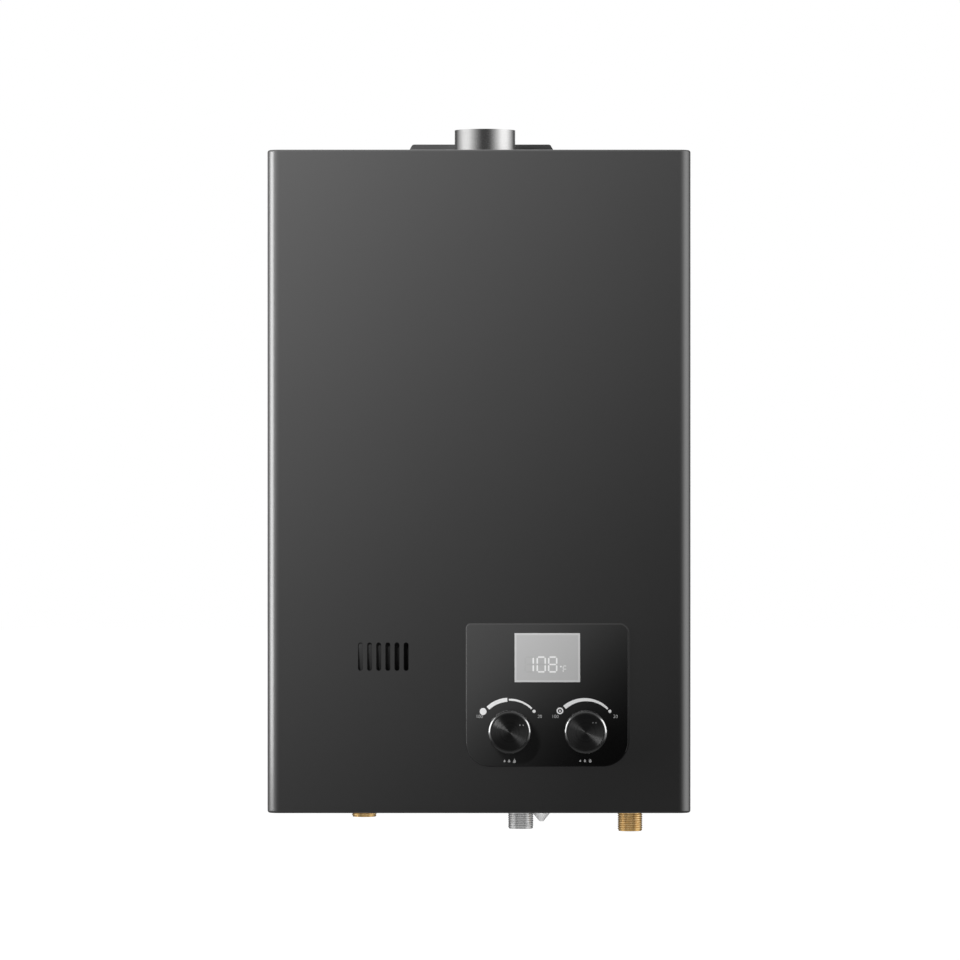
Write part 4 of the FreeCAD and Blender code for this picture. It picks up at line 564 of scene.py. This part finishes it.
def knob_shell(name, material):
    """Hollow knob with a full rounded rim, a seat for the spun disc and a bored hub."""
    knob = knob_centres[name]
    low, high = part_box(name + "_knob")
    depth = high.y - low.y
    rim = []
    for step in range(rim_steps + 1):
        turn = math.radians(90 * step / rim_steps)
        rim.append((knob_face_radius + (knob_radius - knob_face_radius) * math.sin(turn),
                    knob_rim_depth * (1 - math.cos(turn))))
    profile = [
        (0, knob_inlay),
        (knob_face_radius, knob_inlay),
        *rim,
        (knob_radius, depth),
        (knob_radius - knob_wall, depth),
        (knob_radius - knob_wall, knob_inside),
        (knob_hub_radius, knob_inside),
        (knob_hub_radius, depth),
        (spindle_bore, depth),
        (spindle_bore, knob_inside),
        (0, knob_inside),
    ]
    bm = bmesh.new()
    lathe(bm, profile, knob_steps)
    bmesh.ops.rotate(bm, verts=bm.verts, cent=(0, 0, 0),
                     matrix=Matrix.Rotation(math.radians(-90), 3, "X"))
    bmesh.ops.translate(bm, verts=bm.verts, vec=(knob.x, low.y, knob.z))
    shell = piece(bm, name + "_knob_shell", name + "_knob_body", material)
    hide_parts(name + "_knob")
    return shell


# ---- Spring of the gas plunger ----

def squeezed_spring(material):
    """The plunger's spring, copied from the frame as a piece of its own that rides on the case."""
    bm = bmesh.new()
    bm.from_mesh(nodes["plunger_spring"].data)
    merge(bm)
    spring = piece(bm, "squeezed_spring", "case", material)
    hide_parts("plunger_spring")
    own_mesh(spring)


# ---- Dial marks ----

def flame_symbol(size):
    """A flat flame; its outline is in millimetres."""
    bm = bmesh.new()
    verts = [bm.verts.new((x * mm, 0, z * mm)) for x, z in flame_outline]
    bm.faces.new(verts)
    bmesh.ops.scale(bm, verts=bm.verts, vec=(size, size, size))
    return bm


def drop_symbol(size):
    """A disc whose upper half is drawn out to a point."""
    bm = disc(drop_radius * size, drop_steps)
    for vert in bm.verts:
        if vert.co.z > 0:
            share = vert.co.z / (drop_radius * size)
            vert.co.x *= (1 - share) ** drop_taper if share < 1 else 0
            vert.co.z *= drop_stretch
    bmesh.ops.translate(bm, verts=bm.verts, vec=(0, 0, -drop_sink * size))
    return bm


def numeral(text, height):
    """A plain number as flat faces in the XZ plane, centred on the origin."""
    curve = bpy.data.curves.new("numeral", "FONT")
    curve.body = text
    curve.align_x = "CENTER"
    curve.align_y = "CENTER"
    curve.size = height * letter_scale
    curve.resolution_u = 4
    holder = bpy.data.objects.new("numeral", curve)
    bpy.context.scene.collection.objects.link(holder)
    bpy.context.view_layer.update()
    mesh = bpy.data.meshes.new_from_object(holder)
    bm = bmesh.new()
    bm.from_mesh(mesh)
    bpy.data.objects.remove(holder)
    bpy.data.curves.remove(curve)
    bpy.data.meshes.remove(mesh)
    merge(bm)
    bmesh.ops.rotate(bm, verts=bm.verts, cent=(0, 0, 0),
                     matrix=Matrix.Rotation(math.radians(90), 3, "X"))
    return bm


def moved(bm, angle, radius):
    """Moves a flat shape out from the origin in the XZ plane, at an angle in degrees."""
    turn = math.radians(angle)
    bmesh.ops.translate(bm, verts=bm.verts,
                        vec=(radius * math.cos(turn), 0, radius * math.sin(turn)))
    return bm


def dial_marks(material, label_material):
    """Arcs and dots printed round both knobs, with fainter numbers and symbols."""
    made = []
    for name, knob in knob_centres.items():
        dot = disc(end_dot["radius"], end_dot["steps"])
        marks = [moved(dot, end_dot["angle"], dial_radius)]
        labels = []

        def label(bm, x, z):
            bmesh.ops.translate(bm, verts=bm.verts, vec=(x, 0, z))
            labels.append(bm)

        if name == "power":
            symbol = flame_symbol
            dot = disc(power_dot["radius"], power_dot["steps"])
            marks.append(moved(dot, power_dot["angle"], power_dot["reach"]))
        else:
            symbol = drop_symbol
            width = gas_ring["width"]
            ring = arc_band(gas_ring["radius"], -180, 180, width, width, gas_ring["steps"])
            for bm in (ring, drop_symbol(gas_ring_drop)):
                marks.append(moved(bm, gas_ring["angle"], gas_ring["reach"]))
        marks += [arc_band(dial_radius, **arc) for arc in dial_arcs[name]]
        for place, size in symbol_row:
            label(symbol(size), place, -symbol_drop)
        label(numeral("100", label_height), -label_reach, label_rise)
        label(numeral("20", label_height), label_reach, label_rise)
        for kind, shapes, ink in (("marks", marks, material), ("labels", labels, label_material)):
            whole = bmesh.new()
            for bm in shapes:
                merge(bm)
                thicken(bm, print_thickness)
                add_mesh(whole, bm)
            lay_flat(whole, knob.x, knob.z)
            made.append(piece(whole, f"{name}_dial_{kind}", "case", ink))
    return made


def knob_pips(material):
    """Two small dots on each spun face show where the knob points."""
    for name, knob in knob_centres.items():
        bm = bmesh.new()
        for angle, radius in pip_places[name]:
            add_mesh(bm, moved(disc(pip_radius, dot_steps), angle, radius))
        thicken(bm, pip_thickness)
        lay_flat(bm, knob.x, knob.z, knob.y)
        piece(bm, name + "_knob_pips", name + "_knob_body", material)


# ======== Materials ========

def node_in(tree, kind, inputs=None, **settings):
    """Adds a node, sets it and fills its inputs with values or with other nodes' outputs."""
    node = tree.nodes.new(kind)
    for key, value in settings.items():
        setattr(node, key, value)
    for key, value in (inputs or {}).items():
        if isinstance(value, bpy.types.NodeSocket):
            tree.links.new(value, node.inputs[key])
        else:
            node.inputs[key].default_value = value
    return node


def math_in(tree, operation, *values):
    return node_in(tree, "ShaderNodeMath", dict(enumerate(values)), operation=operation).outputs[0]


def new_group(name, inputs, outputs):
    group = bpy.data.node_groups.new(name, "ShaderNodeTree")
    for label, kind in inputs.items():
        group.interface.new_socket(name=label, in_out="INPUT", socket_type="NodeSocket" + kind)
    for label, kind in outputs.items():
        group.interface.new_socket(name=label, in_out="OUTPUT", socket_type="NodeSocket" + kind)
    given = group.nodes.new("NodeGroupInput").outputs
    return group, given, group.nodes.new("NodeGroupOutput").inputs


def make_grain_group():
    """Even mottling between 0 and 1; Stretch draws it out into brush lines."""
    group, given, result = new_group(
        "grain", {"Vector": "Vector", "Stretch": "Vector", "Scale": "Float"}, {"Mask": "Float"})
    drawn = node_in(group, "ShaderNodeVectorMath", {0: given["Vector"], 1: given["Stretch"]},
                    operation="MULTIPLY")
    noise = node_in(group, "ShaderNodeTexNoise",
                    {"Vector": drawn.outputs[0], "Scale": given["Scale"], "Detail": 3.0})
    spread = node_in(group, "ShaderNodeMapRange",
                     {"Value": noise.outputs["Fac"], "From Min": grain_low, "From Max": grain_high})
    group.links.new(spread.outputs[0], result["Mask"])
    return group


def make_reach_group():
    """Distance from an axis through Centre; Across keeps the two directions that count."""
    group, given, result = new_group(
        "reach", {"Vector": "Vector", "Centre": "Vector", "Across": "Vector"},
        {"Distance": "Float"})
    offset = node_in(group, "ShaderNodeVectorMath", {0: given["Vector"], 1: given["Centre"]},
                     operation="SUBTRACT")
    kept = node_in(group, "ShaderNodeVectorMath", {0: offset.outputs[0], 1: given["Across"]},
                   operation="MULTIPLY")
    length = node_in(group, "ShaderNodeVectorMath", {0: kept.outputs[0]}, operation="LENGTH")
    group.links.new(length.outputs["Value"], result["Distance"])
    return group


def make_fade_group():
    """0 to 1 along a direction, between two distances from the origin."""
    group, given, result = new_group(
        "fade", {"Vector": "Vector", "Direction": "Vector", "From": "Float", "To": "Float"},
        {"Mask": "Float"})
    along = node_in(group, "ShaderNodeVectorMath", {0: given["Vector"], 1: given["Direction"]},
                    operation="DOT_PRODUCT")
    spread = node_in(group, "ShaderNodeMapRange", {
        "Value": along.outputs["Value"], "From Min": given["From"], "From Max": given["To"]},
        interpolation_type="SMOOTHSTEP")
    group.links.new(spread.outputs[0], result["Mask"])
    return group


grain_group = make_grain_group()
reach_group = make_reach_group()
fade_group = make_fade_group()


class Finish:
    """A material with a Principled shader, and short ways to feed it."""

    def __init__(self, name, roughness=0.5, metallic=0.0, **constants):
        self.material = bpy.data.materials.new(name)
        self.material.use_nodes = True
        self.tree = self.material.node_tree
        self.shader = self.tree.nodes["Principled BSDF"]
        self.shader.inputs["Roughness"].default_value = roughness
        self.shader.inputs["Metallic"].default_value = metallic
        for label, value in constants.items():
            self.shader.inputs[label.replace("_", " ")].default_value = value
        self.place = node_in(self.tree, "ShaderNodeTexCoord").outputs["Object"]

    def grain(self, scale, stretch=(1, 1, 1)):
        node = node_in(self.tree, "ShaderNodeGroup", node_tree=grain_group)
        self.tree.links.new(self.place, node.inputs["Vector"])
        node.inputs["Stretch"].default_value = stretch
        node.inputs["Scale"].default_value = scale
        return node.outputs["Mask"]

    def reach(self, centre, across):
        node = node_in(self.tree, "ShaderNodeGroup", node_tree=reach_group)
        self.tree.links.new(self.place, node.inputs["Vector"])
        node.inputs["Centre"].default_value = centre
        node.inputs["Across"].default_value = across
        return node.outputs["Distance"]

    def fade(self, direction, start, end):
        node = node_in(self.tree, "ShaderNodeGroup", node_tree=fade_group)
        self.tree.links.new(self.place, node.inputs["Vector"])
        node.inputs["Direction"].default_value = direction
        node.inputs["From"].default_value = start
        node.inputs["To"].default_value = end
        return node.outputs["Mask"]

    def spread(self, value, low, high, start=0.0, end=1.0):
        node = node_in(self.tree, "ShaderNodeMapRange", {
            "Value": value, "From Min": start, "From Max": end, "To Min": low, "To Max": high})
        return node.outputs[0]

    def mix(self, mask, dark, light):
        node = node_in(self.tree, "ShaderNodeMix", {"Factor": mask}, data_type="RGBA")
        for socket, colour in ((node.inputs[6], dark), (node.inputs[7], light)):
            if isinstance(colour, bpy.types.NodeSocket):
                self.tree.links.new(colour, socket)
            else:
                socket.default_value = (*colour, 1)
        return node.outputs[2]

    def feed(self, label, value):
        self.tree.links.new(value, self.shader.inputs[label])

    def bump(self, height, depth, strength=1.0):
        bump = node_in(self.tree, "ShaderNodeBump",
                       {"Height": height, "Distance": depth, "Strength": strength})
        self.tree.links.new(bump.outputs[0], self.shader.inputs["Normal"])
        return self


def grey(value, warmth=0.0):
    return (value * (1 + warmth), value, value * (1 - warmth))


def case_paint():
    """Charcoal powder coat: satin, with a fine peel and a faint metallic fleck."""
    finish = Finish("case_paint", IOR=1.9, Coat_Weight=1.0, Coat_Roughness=0.28, Coat_IOR=1.6)
    fleck = finish.grain(5200)
    cloud = finish.grain(7)
    finish.feed("Base Color", finish.mix(fleck, grey(0.028), grey(0.034)))
    finish.feed("Roughness", finish.spread(cloud, 0.29, 0.32))
    return finish.bump(finish.grain(1500), 0.003 * mm).material


def panel_black_painted_reflection():
    """Gloss black moulding with a painted reflection: its colour fades from dark grey at the upper
    left into black.
    """
    finish = Finish("panel_black_painted_reflection", IOR=1.45)
    centre = (fascia_low + fascia_high) / 2
    direction = Vector((0.665, 0, -0.747))
    middle = direction.dot(centre)
    before, after = 62.5 * mm, 85 * mm
    fade = finish.fade(direction, middle - before, middle + after)
    # Painted reflection: the base colour lightens from black towards the upper left.
    finish.feed("Base Color", finish.mix(fade, grey(0.0743), grey(0.0008)))
    finish.feed("Roughness", finish.spread(finish.grain(40), 0.15, 0.19))
    return finish.bump(finish.grain(900), 0.0015 * mm).material


def lip_painted_highlight():
    """Satin lip round the control panel; its light grey is a painted highlight, which fades darker
    towards its foot.
    """
    finish = Finish("lip_painted_highlight", roughness=0.34)
    middle = -(fascia_low.z + fascia_high.z) / 2
    fade = finish.fade((0, 0, -1), middle, middle + 55 * mm)
    satin = finish.mix(finish.grain(1200), grey(0.088), grey(0.098))
    # Painted highlight: light grey on the lip, fading to dark grey towards its foot.
    finish.feed("Base Color", finish.mix(fade, satin, grey(0.030)))
    finish.feed("Roughness", finish.spread(finish.grain(90), 0.30, 0.38))
    return finish.material


def display_window():
    """Pale grey display with a lighter border just inside its edge."""
    finish = Finish("display_window", IOR=1.5, Coat_Weight=0.5, Coat_Roughness=0.08)
    centre = (lens_low + lens_high) / 2
    half = (lens_high - lens_low) / 2
    border = 1.5 * mm
    blur = 0.15 * mm
    edges = []
    for axis, size in (("x", half.x), ("z", half.z)):
        across = (1, 0, 0) if axis == "x" else (0, 0, 1)
        distance = finish.reach(centre, across)
        edges.append(finish.spread(distance, 0, 1, size - border - blur, size - border))
    border_mask = math_in(finish.tree, "MAXIMUM", *edges)
    tone = finish.mix(finish.grain(2600), grey(0.480), grey(0.500))
    finish.feed("Base Color", finish.mix(border_mask, tone, grey(0.60)))
    finish.feed("Roughness", finish.spread(finish.grain(60), 0.30, 0.36))
    return finish.material


def printed(name, tone):
    """Screen-printed ink or a lit segment, slightly uneven."""
    finish = Finish(name)
    thin_ink = 0.94
    ink = finish.mix(finish.grain(3000), grey(tone * thin_ink), grey(tone))
    finish.feed("Base Color", ink)
    finish.feed("Roughness", finish.spread(finish.grain(800), 0.42, 0.52))
    return finish.material


def baffle_painted_light_and_shade():
    """Dull black baffle behind the vents, with painted light and shade: its colour is lighter at
    the upper left and darker towards its lower right end.
    """
    finish = Finish("baffle_painted_light_and_shade")
    low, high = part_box("vent_baffle")
    middle = (low + high) / 2
    direction = Vector((0.78, 0, -0.62))
    start = direction.dot(middle) - 22 * mm
    fade = finish.fade(direction, start, start + 50 * mm)
    # Painted light and shade: the colour fades from lit grey at the upper left to shaded black at
    # the lower right.
    finish.feed("Base Color", finish.mix(fade, grey(0.058), grey(0.014)))
    finish.feed("Roughness", finish.spread(finish.grain(300), 0.55, 0.68))
    return finish.bump(finish.grain(1500), 0.008 * mm).material


def knob_black():
    """Semi-gloss black lacquer on the knobs' rims and skirts."""
    finish = Finish("knob_black", IOR=1.6, Coat_Weight=1.0, Coat_Roughness=0.10, Coat_IOR=1.8)
    finish.feed("Base Color", finish.mix(finish.grain(900), grey(0.006), grey(0.010)))
    finish.feed("Roughness", finish.spread(finish.grain(120), 0.16, 0.22))
    return finish.bump(finish.grain(2500), 0.002 * mm).material


def spun_face(name, centre, crown):
    """Black anodised disc with concentric turning marks; crown is how far its middle stands out."""
    finish = Finish(name, metallic=1.0, Anisotropic=0.95, Anisotropic_Rotation=0.25)
    distance = finish.reach(centre, (1, 0, 1))
    tree = finish.tree
    rings = node_in(tree, "ShaderNodeTexNoise", {"W": distance, "Scale": 9000.0, "Detail": 2.0},
                    noise_dimensions="1D")
    broad = node_in(tree, "ShaderNodeTexNoise", {"W": distance, "Scale": 700.0, "Detail": 1.0},
                    noise_dimensions="1D")
    finish.feed("Base Color", finish.mix(broad.outputs["Fac"], grey(0.060), grey(0.115)))
    finish.feed("Roughness", finish.spread(rings.outputs["Fac"], 0.24, 0.34))
    tangent = node_in(tree, "ShaderNodeTangent", direction_type="RADIAL", axis="Y")
    tree.links.new(tangent.outputs[0], finish.shader.inputs["Tangent"])
    marks = math_in(tree, "MULTIPLY", rings.outputs["Fac"], 0.003 * mm)
    square = math_in(tree, "POWER", distance, 2.0)
    dish = math_in(tree, "MULTIPLY", square, -crown / knob_face_radius ** 2)
    return finish.bump(math_in(tree, "ADD", marks, dish), 1.0).material


def stainless(tone):
    """Rolled stainless sheet with fine brush lines."""
    finish = Finish("stainless", metallic=1.0)
    stretch = (1, 1, 40)
    lines = finish.grain(60, stretch)
    fine = finish.grain(700, stretch)
    finish.feed("Base Color", finish.mix(lines, grey(tone * 0.93, 0.006), grey(tone, 0.004)))
    finish.feed("Roughness", finish.spread(fine, 0.20, 0.30))
    return finish.bump(fine, 0.0015 * mm).material


def turned_metal(name, node, dark, light, roughness):
    """Turned and threaded stub: its colour is darker in the thread's roots."""
    finish = Finish(name, metallic=1.0)
    low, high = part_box(node)
    thread_crest, thread_root = thread_forms[node]
    distance = finish.reach((low + high) / 2, (1, 1, 0))
    crest = finish.spread(distance, 0, 1, thread_root, thread_crest - worn_crest)
    # The thread's roots are coloured darker than its crests.
    root_tone = tuple(value * root_dark_share for value in dark)
    tone = finish.mix(crest, root_tone, finish.mix(finish.grain(350), dark, light))
    finish.feed("Base Color", tone)
    skin = finish.grain(900, (1, 1, 6))
    finish.feed("Roughness", finish.spread(skin, roughness, roughness + 0.1))
    return finish.bump(finish.grain(2200, (1, 1, 4)), 0.003 * mm).material


def sheet_metal(name, dark, light, roughness, scale):
    """Plain metal sheet or casting: a cloudy surface with a fine grain."""
    finish = Finish(name, metallic=1.0)
    finish.feed("Base Color", finish.mix(finish.grain(scale), dark, light))
    finish.feed("Roughness", finish.spread(finish.grain(scale * 4), roughness, roughness + 0.12))
    return finish.bump(finish.grain(1800), 0.006 * mm).material


def moulded(name, dark, light, roughness=0.5, depth=0.01, **constants):
    """Moulded plastic, rubber, lacquer or ceramic with a fine skin texture."""
    finish = Finish(name, **constants)
    finish.feed("Base Color", finish.mix(finish.grain(220), dark, light))
    finish.feed("Roughness", finish.spread(finish.grain(500), roughness, roughness + 0.08))
    return finish.bump(finish.grain(2600), depth * mm).material


def slot_finishes():
    """One finish for each material slot of the record."""
    return {
        "case_paint": case_paint(),
        "gloss_black": panel_black_painted_reflection(),
        "display_window": display_window(),
        "knob_black": knob_black(),
        "stainless": stainless(0.68),
        "galvanised_steel": sheet_metal("galvanised_steel", grey(0.36), grey(0.50), 0.36, 60),
        "zinc_screws": sheet_metal("zinc_screws", grey(0.40), grey(0.52, 0.01), 0.30, 400),
        "display_grey": moulded("display_grey", grey(0.36), grey(0.40)),
        "circuit_board": moulded("circuit_board", (0.012, 0.09, 0.035), (0.02, 0.13, 0.05), 0.35),
        "turned_brass": sheet_metal(
            "turned_brass", (0.52, 0.35, 0.13), (0.64, 0.45, 0.19), 0.30, 200),
        "dark_rubber": moulded("dark_rubber", grey(0.018), grey(0.03), 0.72),
        "motor_can": moulded("motor_can", grey(0.016), grey(0.024), 0.32, 0.005, IOR=1.6),
        "aluminium_sheet": sheet_metal("aluminium_sheet", grey(0.58), grey(0.68), 0.34, 120),
        "bright_steel": sheet_metal("bright_steel", grey(0.50), grey(0.60), 0.24, 300),
        "copper": sheet_metal("copper", (0.56, 0.25, 0.14), (0.76, 0.38, 0.24), 0.30, 45),
        "cast_aluminium": sheet_metal("cast_aluminium", grey(0.44), grey(0.56), 0.46, 700),
        "ceramic": moulded("ceramic", (0.76, 0.73, 0.67), (0.84, 0.82, 0.77), 0.18, 0.002),
        "pale_nylon": moulded("pale_nylon", grey(0.68), grey(0.74), 0.42, 0.004),
        "dark_plastic": moulded("dark_plastic", grey(0.020), grey(0.030), 0.48, 0.012),
        "clear_silicone": moulded(
            "clear_silicone", grey(0.60, 0.01), grey(0.70, 0.01), 0.40, 0.002),
    }


def dress_nodes(finishes):
    """Gives every CAD node the finish of its slot; stubs and knob faces get theirs one by one."""
    slots = {part["node"]: part["material_slot"] for part in frame["record"]["subparts"]}
    for name, obj in nodes.items():
        if slots[name] in finishes:
            put_on(obj, finishes[slots[name]])


def put_on(obj, material):
    if obj.material_slots:
        for holder in obj.material_slots:
            holder.material = material
    else:
        obj.data.materials.append(material)


# ======== Stage ========

def studio_world():
    """White backdrop. Reflections also hold a bright panel at each side and a dark front."""
    world = bpy.data.worlds.new("studio")
    bpy.context.scene.world = world
    world.use_nodes = True
    tree = world.node_tree
    background = tree.nodes["Background"]
    background.inputs["Color"].default_value = (1, 1, 1, 1)
    way = node_in(tree, "ShaderNodeTexCoord").outputs["Generated"]
    level = node_in(tree, "ShaderNodeVectorMath", {0: way, 1: (1, 1, 0)}, operation="MULTIPLY")
    level = node_in(tree, "ShaderNodeVectorMath", {0: level.outputs[0]}, operation="NORMALIZE")
    flat = node_in(tree, "ShaderNodeSeparateXYZ", {0: level.outputs[0]}).outputs
    rise = node_in(tree, "ShaderNodeSeparateXYZ", {0: way}).outputs["Z"]

    def ramp(value, start, end, low, high, kind="LINEAR"):
        return node_in(tree, "ShaderNodeMapRange", {
            "Value": value, "From Min": start, "From Max": end, "To Min": low, "To Max": high},
            interpolation_type=kind).outputs[0]

    def times(*values):
        product = values[0]
        for value in values[1:]:
            product = math_in(tree, "MULTIPLY", product, value)
        return product

    def plus(*values):
        total = values[0]
        for value in values[1:]:
            total = math_in(tree, "ADD", total, value)
        return total

    beside = ramp(flat["Y"], *panel_front_edge, 0.0, 1.0)
    before_back = ramp(flat["Y"], *panel_back_edge, 1.0, 0.0)
    off_middle = math_in(tree, "ABSOLUTE", math_in(tree, "SUBTRACT", rise, panel_middle))
    band = ramp(off_middle, *panel_rise, 1.0, 0.0, "SMOOTHSTEP")
    strength = ramp(flat["X"], -1.0, 1.0, left_panel, right_panel)
    panels = times(beside, before_back, band, strength)
    backdrop = times(ramp(flat["Y"], *backdrop_edge, 0.0, 1.0), band)
    overhead = ramp(rise, *steep_rise, 0.0, overhead_light, "SMOOTHSTEP")
    fall = [-edge for edge in steep_rise]
    underneath = ramp(rise, *fall, 0.0, floor_light, "SMOOTHSTEP")
    room = plus(panels, backdrop, overhead, underneath, room_light)
    path = node_in(tree, "ShaderNodeLightPath").outputs
    share = node_in(tree, "ShaderNodeMix", {
        "Factor": path["Is Glossy Ray"], 2: diffuse_share, 3: 1.0}, data_type="FLOAT").outputs[0]
    seen = math_in(tree, "MAXIMUM", path["Is Camera Ray"], path["Is Transmission Ray"])
    shown = node_in(tree, "ShaderNodeMix", {"Factor": seen, 2: times(room, share), 3: 1.0},
                    data_type="FLOAT")
    tree.links.new(shown.outputs[0], background.inputs["Strength"])


def soft_box(name):
    """One area lamp from the table."""
    place, aim, size, power = lamps[name]
    data = bpy.data.lights.new(name, "AREA")
    data.shape = "RECTANGLE"
    data.size, data.size_y = size
    data.energy = power
    lamp = bpy.data.objects.new(name, data)
    bpy.context.scene.collection.objects.link(lamp)
    lamp.location = place
    lamp.rotation_euler = (Vector(aim) - Vector(place)).to_track_quat("-Z", "Y").to_euler()
    lamp.visible_camera = False
    lamp.visible_glossy = name not in lamps_without_reflection
    return lamp


def flag(lamp, pieces, state):
    """Keeps a lamp's light off these pieces, or on them alone, as a flag on a stand would."""
    flagged = bpy.data.collections.new(lamp.name + "_flag")
    lamp.light_linking.receiver_collection = flagged
    for item in pieces:
        flagged.objects.link(item)
    for item in flagged.collection_objects:
        item.light_linking.link_state = state


def pale_floor():
    """White floor that takes the shadow; it can't be seen from below or in reflections."""
    bm = bmesh.new()
    bmesh.ops.create_grid(bm, x_segments=1, y_segments=1, size=floor_size / 2)
    bmesh.ops.translate(bm, verts=bm.verts, vec=(0, 0, floor_height))
    mesh = bpy.data.meshes.new("floor")
    bm.to_mesh(mesh)
    bm.free()
    floor = bpy.data.objects.new("floor", mesh)
    bpy.context.scene.collection.objects.link(floor)
    finish = Finish("floor_white", roughness=0.9)
    finish.feed("Base Color", finish.mix(finish.grain(3), grey(0.78), grey(0.80)))
    tree = finish.tree
    path = node_in(tree, "ShaderNodeLightPath").outputs
    shown = math_in(tree, "MAXIMUM", path["Is Camera Ray"], path["Is Transmission Ray"])
    lift = math_in(tree, "MULTIPLY", shown, floor_lift)
    tree.links.new(lift, finish.shader.inputs["Emission Strength"])
    finish.shader.inputs["Emission Color"].default_value = (1, 1, 1, 1)
    clear = node_in(tree, "ShaderNodeBsdfTransparent").outputs[0]
    behind = node_in(tree, "ShaderNodeNewGeometry").outputs["Backfacing"]
    both = node_in(tree, "ShaderNodeMixShader", {0: behind, 1: finish.shader.outputs[0], 2: clear})
    tree.links.new(both.outputs[0], tree.nodes["Material Output"].inputs["Surface"])
    mesh.materials.append(finish.material)
    floor.visible_glossy = False


def front_camera():
    data = bpy.data.cameras.new("camera")
    data.lens = camera_lens
    data.clip_end = camera_clip
    camera = bpy.data.objects.new("camera", data)
    bpy.context.scene.collection.objects.link(camera)
    camera.location = camera_place
    camera.rotation_euler = (math.radians(90), 0, 0)
    bpy.context.scene.camera = camera


# ======== Making it ========

bpy.context.scene.view_settings.view_transform = "Standard"
front_camera()
studio_world()
pale_floor()

finishes = slot_finishes()
dress_nodes(finishes)
put_on(nodes["vent_baffle"], baffle_painted_light_and_shade())
knob_faces = []
knob_rims = []
for name, centre in knob_centres.items():
    knob_faces.append(nodes[name + "_knob_face"])
    put_on(knob_faces[-1], spun_face("spun_" + name + "_face", centre, face_crowns[name]))
    knob_rims.append(knob_shell(name, finishes["knob_black"]))

brass = ((0.78, 0.50, 0.19), (0.92, 0.68, 0.36))
stub_roughness = 0.24
stub_finishes = {
    "gas_inlet_fitting": ("plated_fitting", "plated_stub", grey(0.68), grey(0.82)),
    "water_inlet_fitting": ("brass_fitting", "cold_brass_stub", *brass),
    "hot_outlet_fitting": ("brass_fitting", "hot_brass_stub", *brass),
}
stubs = []
for fitting, (slot, name, dark, light) in stub_finishes.items():
    metal = turned_metal(name, fitting, dark, light, stub_roughness)
    put_on(nodes[fitting], metal)
    stubs.append(threaded_stub(fitting, metal))

case_screws(finishes["zinc_screws"])
squeezed_spring(finishes["bright_steel"])
panel_rim(lip_painted_highlight())
prints = display_readout(printed("lit_segment", 0.90), printed("unlit_segment", 0.470))
prints += dial_marks(printed("dial_ink", 0.88), printed("label_ink", 0.45))
knob_pips(printed("pip_ink", 0.5))

lit_alone = {
    "stub_light": [*stubs, nodes["drain_plug"]],
    "print_light": [*prints, nodes["display_lens"], nodes["drain_plug"]],
    "knob_glint": knob_faces,
    "left_rim_light": knob_rims,
    "right_rim_light": knob_rims,
    "plug_light": [nodes["drain_plug"]],
}
for name in lamps:
    lamp = soft_box(name)
    if name in lit_alone:
        flag(lamp, lit_alone[name], "INCLUDE")
    elif name == "left_strip":
        flag(lamp, [nodes["flue_spigot"]], "EXCLUDE")
